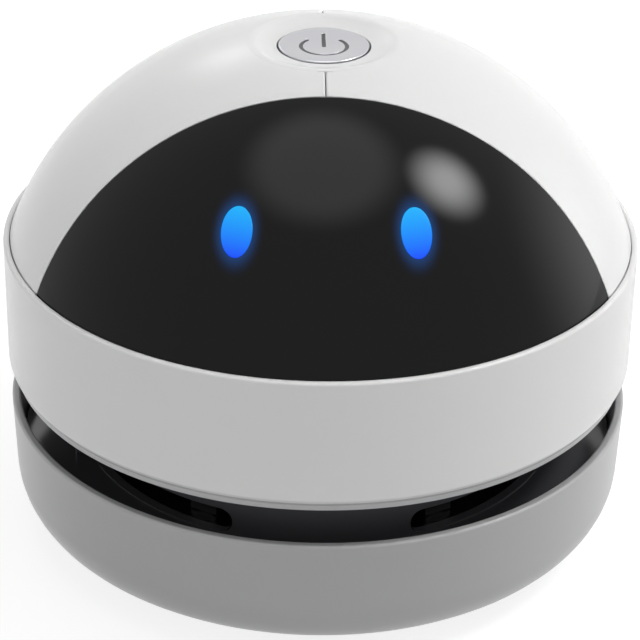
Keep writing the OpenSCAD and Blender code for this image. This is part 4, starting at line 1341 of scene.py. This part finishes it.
@dataclass
class SoftParts:
    """The bristle strips under the plate and the pleated filter."""

    maker: Builder
    brush_r: float = 13.7
    brush_w: float = 2.8
    brush_steps: int = 48
    back_low: float = 1.6
    back_top: float = 2.6
    tip_z: float = 0.2
    rows: int = 7
    per_row: int = 96
    row_reach: float = 0.8
    span: float = math.radians(96)
    bare_end: float = math.radians(3)
    strand_r: float = 0.09
    strand_sides: int = 6
    strand_sunk: float = 0.1
    taper: float = 0.7
    point: float = 0.03
    stray_turn: float = 0.003
    stray_r: float = 0.03
    stray_lean: float = 0.035
    stray_tip: float = 0.08
    seed: int = 11
    filter_r: float = 27.9
    pleats: int = 16
    pleat_steps: int = 24
    across_steps: int = 25
    pleat_low: float = 9.95
    pleat_high: float = 11.35
    sheet: float = 0.42

    def strip(self, middle: float) -> Surface:
        """One bristle strip: a backing and tapered strands that lean a little.

        Each strand is two six-sided rings under a flat top, drawn to a point at its tip.

        Args:
            middle: the azimuth of its middle, in radians.

        Returns:
            The strip's surface.
        """
        surface = Surface()
        half, sides = self.brush_w / 2, self.strand_sides
        backing = bar(self.brush_r - half, self.brush_r + half, self.back_low, self.back_top,
                      0.1, 0.1, 0, 0)
        ends = (middle - self.span / 2, middle + self.span / 2)
        revolve(surface, backing, self.brush_steps, ends)
        random, field_size = np.random.default_rng(self.seed), (self.rows, self.per_row)
        share = np.linspace(-0.5, 0.5, self.per_row) * (self.span - 2 * self.bare_end)
        azimuth = middle + share + random.normal(0, self.stray_turn, field_size)
        radius = self.brush_r + np.linspace(-1, 1, self.rows)[:, None] * self.row_reach
        radius = radius + random.normal(0, self.stray_r, field_size)
        top = np.stack([radius * np.sin(azimuth), -radius * np.cos(azimuth),
                        np.full(field_size, self.back_low + self.strand_sunk)], -1).reshape(-1, 3)
        tip = top.copy()
        tip[:, :2] += random.normal(0, self.stray_lean, (len(top), 2))
        tip[:, 2] = self.tip_z + random.uniform(0, self.stray_tip, len(top))
        a = circle(sides)
        ring = np.concatenate([np.cos(a), np.sin(a), 0 * a], axis=1)
        top, tip = top[:, None], tip[:, None]
        upper, lower = top + ring * self.strand_r, tip + ring * self.strand_r * self.taper
        rings = (top, upper, upper, lower, tip - [0, 0, self.point])
        up = np.array([0, 0, 1.0])
        strands, facing = (
            np.stack([np.broadcast_to(part, upper.shape) for part in parts], axis=2)
            for parts in (rings, (up, up, ring, ring, -up))
        )
        first = np.arange(len(top))[:, None, None] * sides * len(rings)
        faces = (first + grid_faces(sides, len(rings), wrap=True)).reshape(-1, 4)
        surface.add(strands, facing, faces)
        return surface

    def fold_height(self, x: Array) -> Array:
        """The middle level of the filter sheet across its folds: a cosine with soft turns.

        Args:
            x: places across the folds.

        Returns:
            The level at each place.
        """
        wave = 0.5 - 0.5 * np.cos(math.pi * self.pleats * (x / self.filter_r + 1))
        rise = (self.pleat_high - self.pleat_low) * smooth_step(wave)
        return self.pleat_low + self.sheet / 2 + rise

    def pleated(self) -> Surface:
        """The filter: a folded sheet cut to a disc, half its thickness above and below.

        Returns:
            The filter's surface.
        """
        x = np.linspace(-self.filter_r, self.filter_r, self.pleats * self.pleat_steps + 1)[:, None]
        y = np.sqrt(np.maximum(self.filter_r**2 - x**2, 0)) * np.linspace(-1, 1, self.across_steps)
        rise = self.fold_height(x + SLOPE_STEP) - self.fold_height(x - SLOPE_STEP)
        normal = np.stack([0 * y - rise / (2 * SLOPE_STEP), 0 * y, 0 * y + 1], axis=-1)
        middle = np.stack(np.broadcast_arrays(x, y, self.fold_height(x)), axis=-1)
        half = np.array([0, 0, self.sheet / 2])
        surface = Surface()
        for sign in (1.0, -1.0):
            surface.add(middle + sign * half, sign * normal, grid_faces(*middle.shape[:2]))
        for edge in (middle[:, 0], middle[:, -1]):
            facing = edge * [1, 1, 0]
            rim = np.stack([edge - half, edge + half])
            surface.add(rim, np.stack([facing, facing]), grid_faces(2, len(edge)))
        return surface

    def build(self) -> None:
        """Puts the strips and the filter in."""
        for middle, word in ((0.0, "front"), (math.pi, "back")):
            name = f"bristle_strip_{word}"
            self.maker.place(name, self.strip(middle), "cup", "bristle_nylon", f"brush_{word}")
        self.maker.place("pleated_filter", self.pleated(), "filter", "filter_paper", "filter_media")


# ---------------------------------------------------------------- studio


def bare_tree(owner: bpy.types.Material | bpy.types.World) -> Tree:
    """Empties the node tree of a new material or world.

    Args:
        owner: the material or world.

    Returns:
        Its tree.
    """
    owner.use_nodes = True
    owner.node_tree.nodes.clear()
    return owner.node_tree


def heading(azimuth: float, elevation: float) -> Vector:
    """The unit vector that looks out at an azimuth and an elevation, in radians."""
    level = math.cos(elevation)
    return Vector((math.sin(azimuth) * level, -math.cos(azimuth) * level, math.sin(elevation)))


@dataclass
class Softbox:
    """A round soft lamp whose light fades towards its rim. Angles are in degrees."""

    name: str
    azimuth: float
    elevation: float
    spread: float
    radiance: float
    hardness: float
    distance: float = 1.2
    sides: int = 48

    def build(self, aim: Vector) -> None:
        """Places the lamp.

        Args:
            aim: the point that it looks at.
        """
        way = heading(math.radians(self.azimuth), math.radians(self.elevation))
        radius = self.distance * math.tan(math.radians(self.spread))
        a = circle(self.sides)
        rim = np.concatenate([radius * np.cos(a), radius * np.sin(a), 0 * a], axis=1)
        mesh = bpy.data.meshes.new(self.name)
        mesh.from_pydata(rim.tolist(), [], [tuple(range(self.sides))])
        lamp = add_object(self.name, mesh)
        lamp.location = aim + way * self.distance
        lamp.rotation_euler = way.to_track_quat("Z", "Y").to_euler()
        lamp.visible_camera = False
        mesh.materials.append(self.lit_cloth(radius))

    def lit_cloth(self, radius: float) -> bpy.types.Material:
        """The lit cloth: full in the middle, fading to nothing at the rim.

        Args:
            radius: the lamp's radius, in metres.

        Returns:
            The material.
        """
        material = bpy.data.materials.new(self.name + "_cloth")
        tree = bare_tree(material)
        place = node(tree, "ShaderNodeTexCoord").outputs["Object"]
        out = node(tree, "ShaderNodeVectorMath", {0: place}, operation="LENGTH").outputs["Value"]
        span = {"Value": out, 1: radius * self.hardness, 2: radius, 3: self.radiance, 4: 0.0}
        light = node(tree, "ShaderNodeMapRange", span, interpolation_type="SMOOTHSTEP")
        glow = node(tree, "ShaderNodeEmission", {0: WHITE, 1: light})
        clear = node(tree, "ShaderNodeBsdfTransparent")
        both = node(tree, "ShaderNodeAddShader", {0: glow, 1: clear})
        node(tree, "ShaderNodeOutputMaterial", {0: both})
        return material


@dataclass
class Studio:
    """Floor, backdrop light, lamps and camera. Lengths are in metres."""

    lamps: tuple[Softbox, ...] = (
        Softbox("key_right", 94, 54, 14, 18.5, 0.1),
        Softbox("overhead", 3, 88, 26, 1.65, 0.5),
        Softbox("back_left", 197, 29, 10, 2.4, 0.1),
        Softbox("low_right", 108, 10, 30, 1.2, 0.0),
    )
    horizon: float = 1.32
    zenith: float = 0.1
    sky_span: tuple[float, float] = (0.1, 0.75)
    table_side: float = 4.0
    table_grey: float = 0.45
    table_shade: float = 0.35
    table_light: float = 0.8
    aim_z: float = 0.0288
    aim_right: float = 0.000114
    distance: float = 0.35
    elevation: float = math.radians(28.55)
    yaw: float = math.radians(1.4)
    roll: float = math.radians(1.0)
    lens_mm: float = 138.29
    sensor_mm: float = 36.0
    clip: tuple[float, float] = (0.01, 20.0)

    def world(self) -> None:
        """White where it is seen or mirrored, and a plain level where it lights."""
        world = bpy.data.worlds.new("studio")
        bpy.context.scene.world = world
        tree = bare_tree(world)
        way = node(tree, "ShaderNodeTexCoord").outputs["Generated"]
        height = node(tree, "ShaderNodeSeparateXYZ", {0: way}).outputs[2]
        low, high = self.sky_span
        span = {"Value": height, 1: low, 2: high, 3: self.horizon, 4: self.zenith}
        level = node(tree, "ShaderNodeMapRange", span)
        white = node(tree, "ShaderNodeBackground", {0: WHITE, 1: 1.0})
        soft = node(tree, "ShaderNodeBackground", {0: WHITE, 1: level})
        parts = {0: self.seen_ray(tree), 1: soft, 2: white}
        node(tree, "ShaderNodeOutputWorld", {0: node(tree, "ShaderNodeMixShader", parts)})

    @staticmethod
    def seen_ray(tree: Tree) -> Node:
        """What tells seen rays from others.

        Args:
            tree: the material's or world's tree.

        Returns:
            A node that gives 1 for rays from the camera, from a mirror or through glass.
        """
        rays = node(tree, "ShaderNodeLightPath").outputs
        pair = {0: rays["Is Glossy Ray"], 1: rays["Is Transmission Ray"]}
        mirrored = node(tree, "ShaderNodeMath", pair, operation="MAXIMUM")
        pair = {0: rays["Is Camera Ray"], 1: mirrored}
        return node(tree, "ShaderNodeMath", pair, operation="MAXIMUM")

    def floor(self) -> None:
        """A white table: seen rays get light of its own under a weaker shaded part."""
        mesh = bpy.data.meshes.new("floor")
        corners = ((-1, -1), (1, -1), (1, 1), (-1, 1))
        places = [(x * self.table_side, y * self.table_side, 0) for x, y in corners]
        mesh.from_pydata(places, [], [(0, 1, 2, 3)])
        floor = add_object("floor", mesh)
        material = bpy.data.materials.new("white_table")
        tree = bare_tree(material)
        lit, shaded = (
            node(tree, "ShaderNodeBsdfDiffuse", {0: (grey, grey, grey, 1)})
            for grey in (self.table_grey, self.table_shade)
        )
        own = node(tree, "ShaderNodeEmission", {0: WHITE, 1: self.table_light})
        both = node(tree, "ShaderNodeAddShader", {0: shaded, 1: own})
        parts = {0: self.seen_ray(tree), 1: lit, 2: both}
        node(tree, "ShaderNodeOutputMaterial", {0: node(tree, "ShaderNodeMixShader", parts)})
        mesh.materials.append(material)

    def camera(self) -> None:
        """The photograph's view: aim on the axis, moved a hair to the right, and rolled."""
        data = bpy.data.cameras.new("camera")
        data.sensor_width, data.lens = self.sensor_mm, self.lens_mm
        data.clip_start, data.clip_end = self.clip
        camera = add_object("camera", data)
        way = heading(-self.yaw, self.elevation)
        turn = (-way).to_track_quat("-Z", "Y").to_matrix().to_4x4()
        right = turn @ Vector((1, 0, 0, 0))
        aim = Vector((0, 0, self.aim_z)) + right.to_3d() * self.aim_right
        place = Matrix.Translation(aim + way * self.distance)
        camera.matrix_world = place @ turn @ Matrix.Rotation(self.roll, 4, "Z")
        bpy.context.scene.camera = camera

    def build(self) -> None:
        """Sets the whole studio up."""
        self.world()
        self.floor()
        for lamp in self.lamps:
            lamp.build(Vector((0, 0, self.aim_z)))
        self.camera()
        bpy.context.scene.view_settings.view_transform = "Standard"


def dress_frame(frame: dict, finishes: Finishes) -> None:
    """Gives each solid of the frame its finish.

    Args:
        finishes: the built materials.
    """
    for part in frame["record"]["subparts"]:
        solid = frame["nodes"][part["node"]]
        for place in solid.material_slots:
            place.material = finishes.made[part["material_slot"]]


def main() -> None:
    """Builds the sub-assemblies in order, then the studio, and reports each piece."""
    logging.basicConfig(level=logging.INFO, format="%(message)s")
    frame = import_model()
    sizes = Measures()
    finishes = Finishes(sizes)
    finishes.build()
    dress_frame(frame, finishes)
    maker = Builder(sizes, finishes)
    for part in (DomeShell, Visor, CrownAndButton, BandAndCup, SoftParts):
        part(maker).build()
    Studio().build()
    for line in maker.placed:
        LOG.info(line)
    LOG.info("%d pieces made", len(maker.placed))


if __name__ == "__main__":
    main()
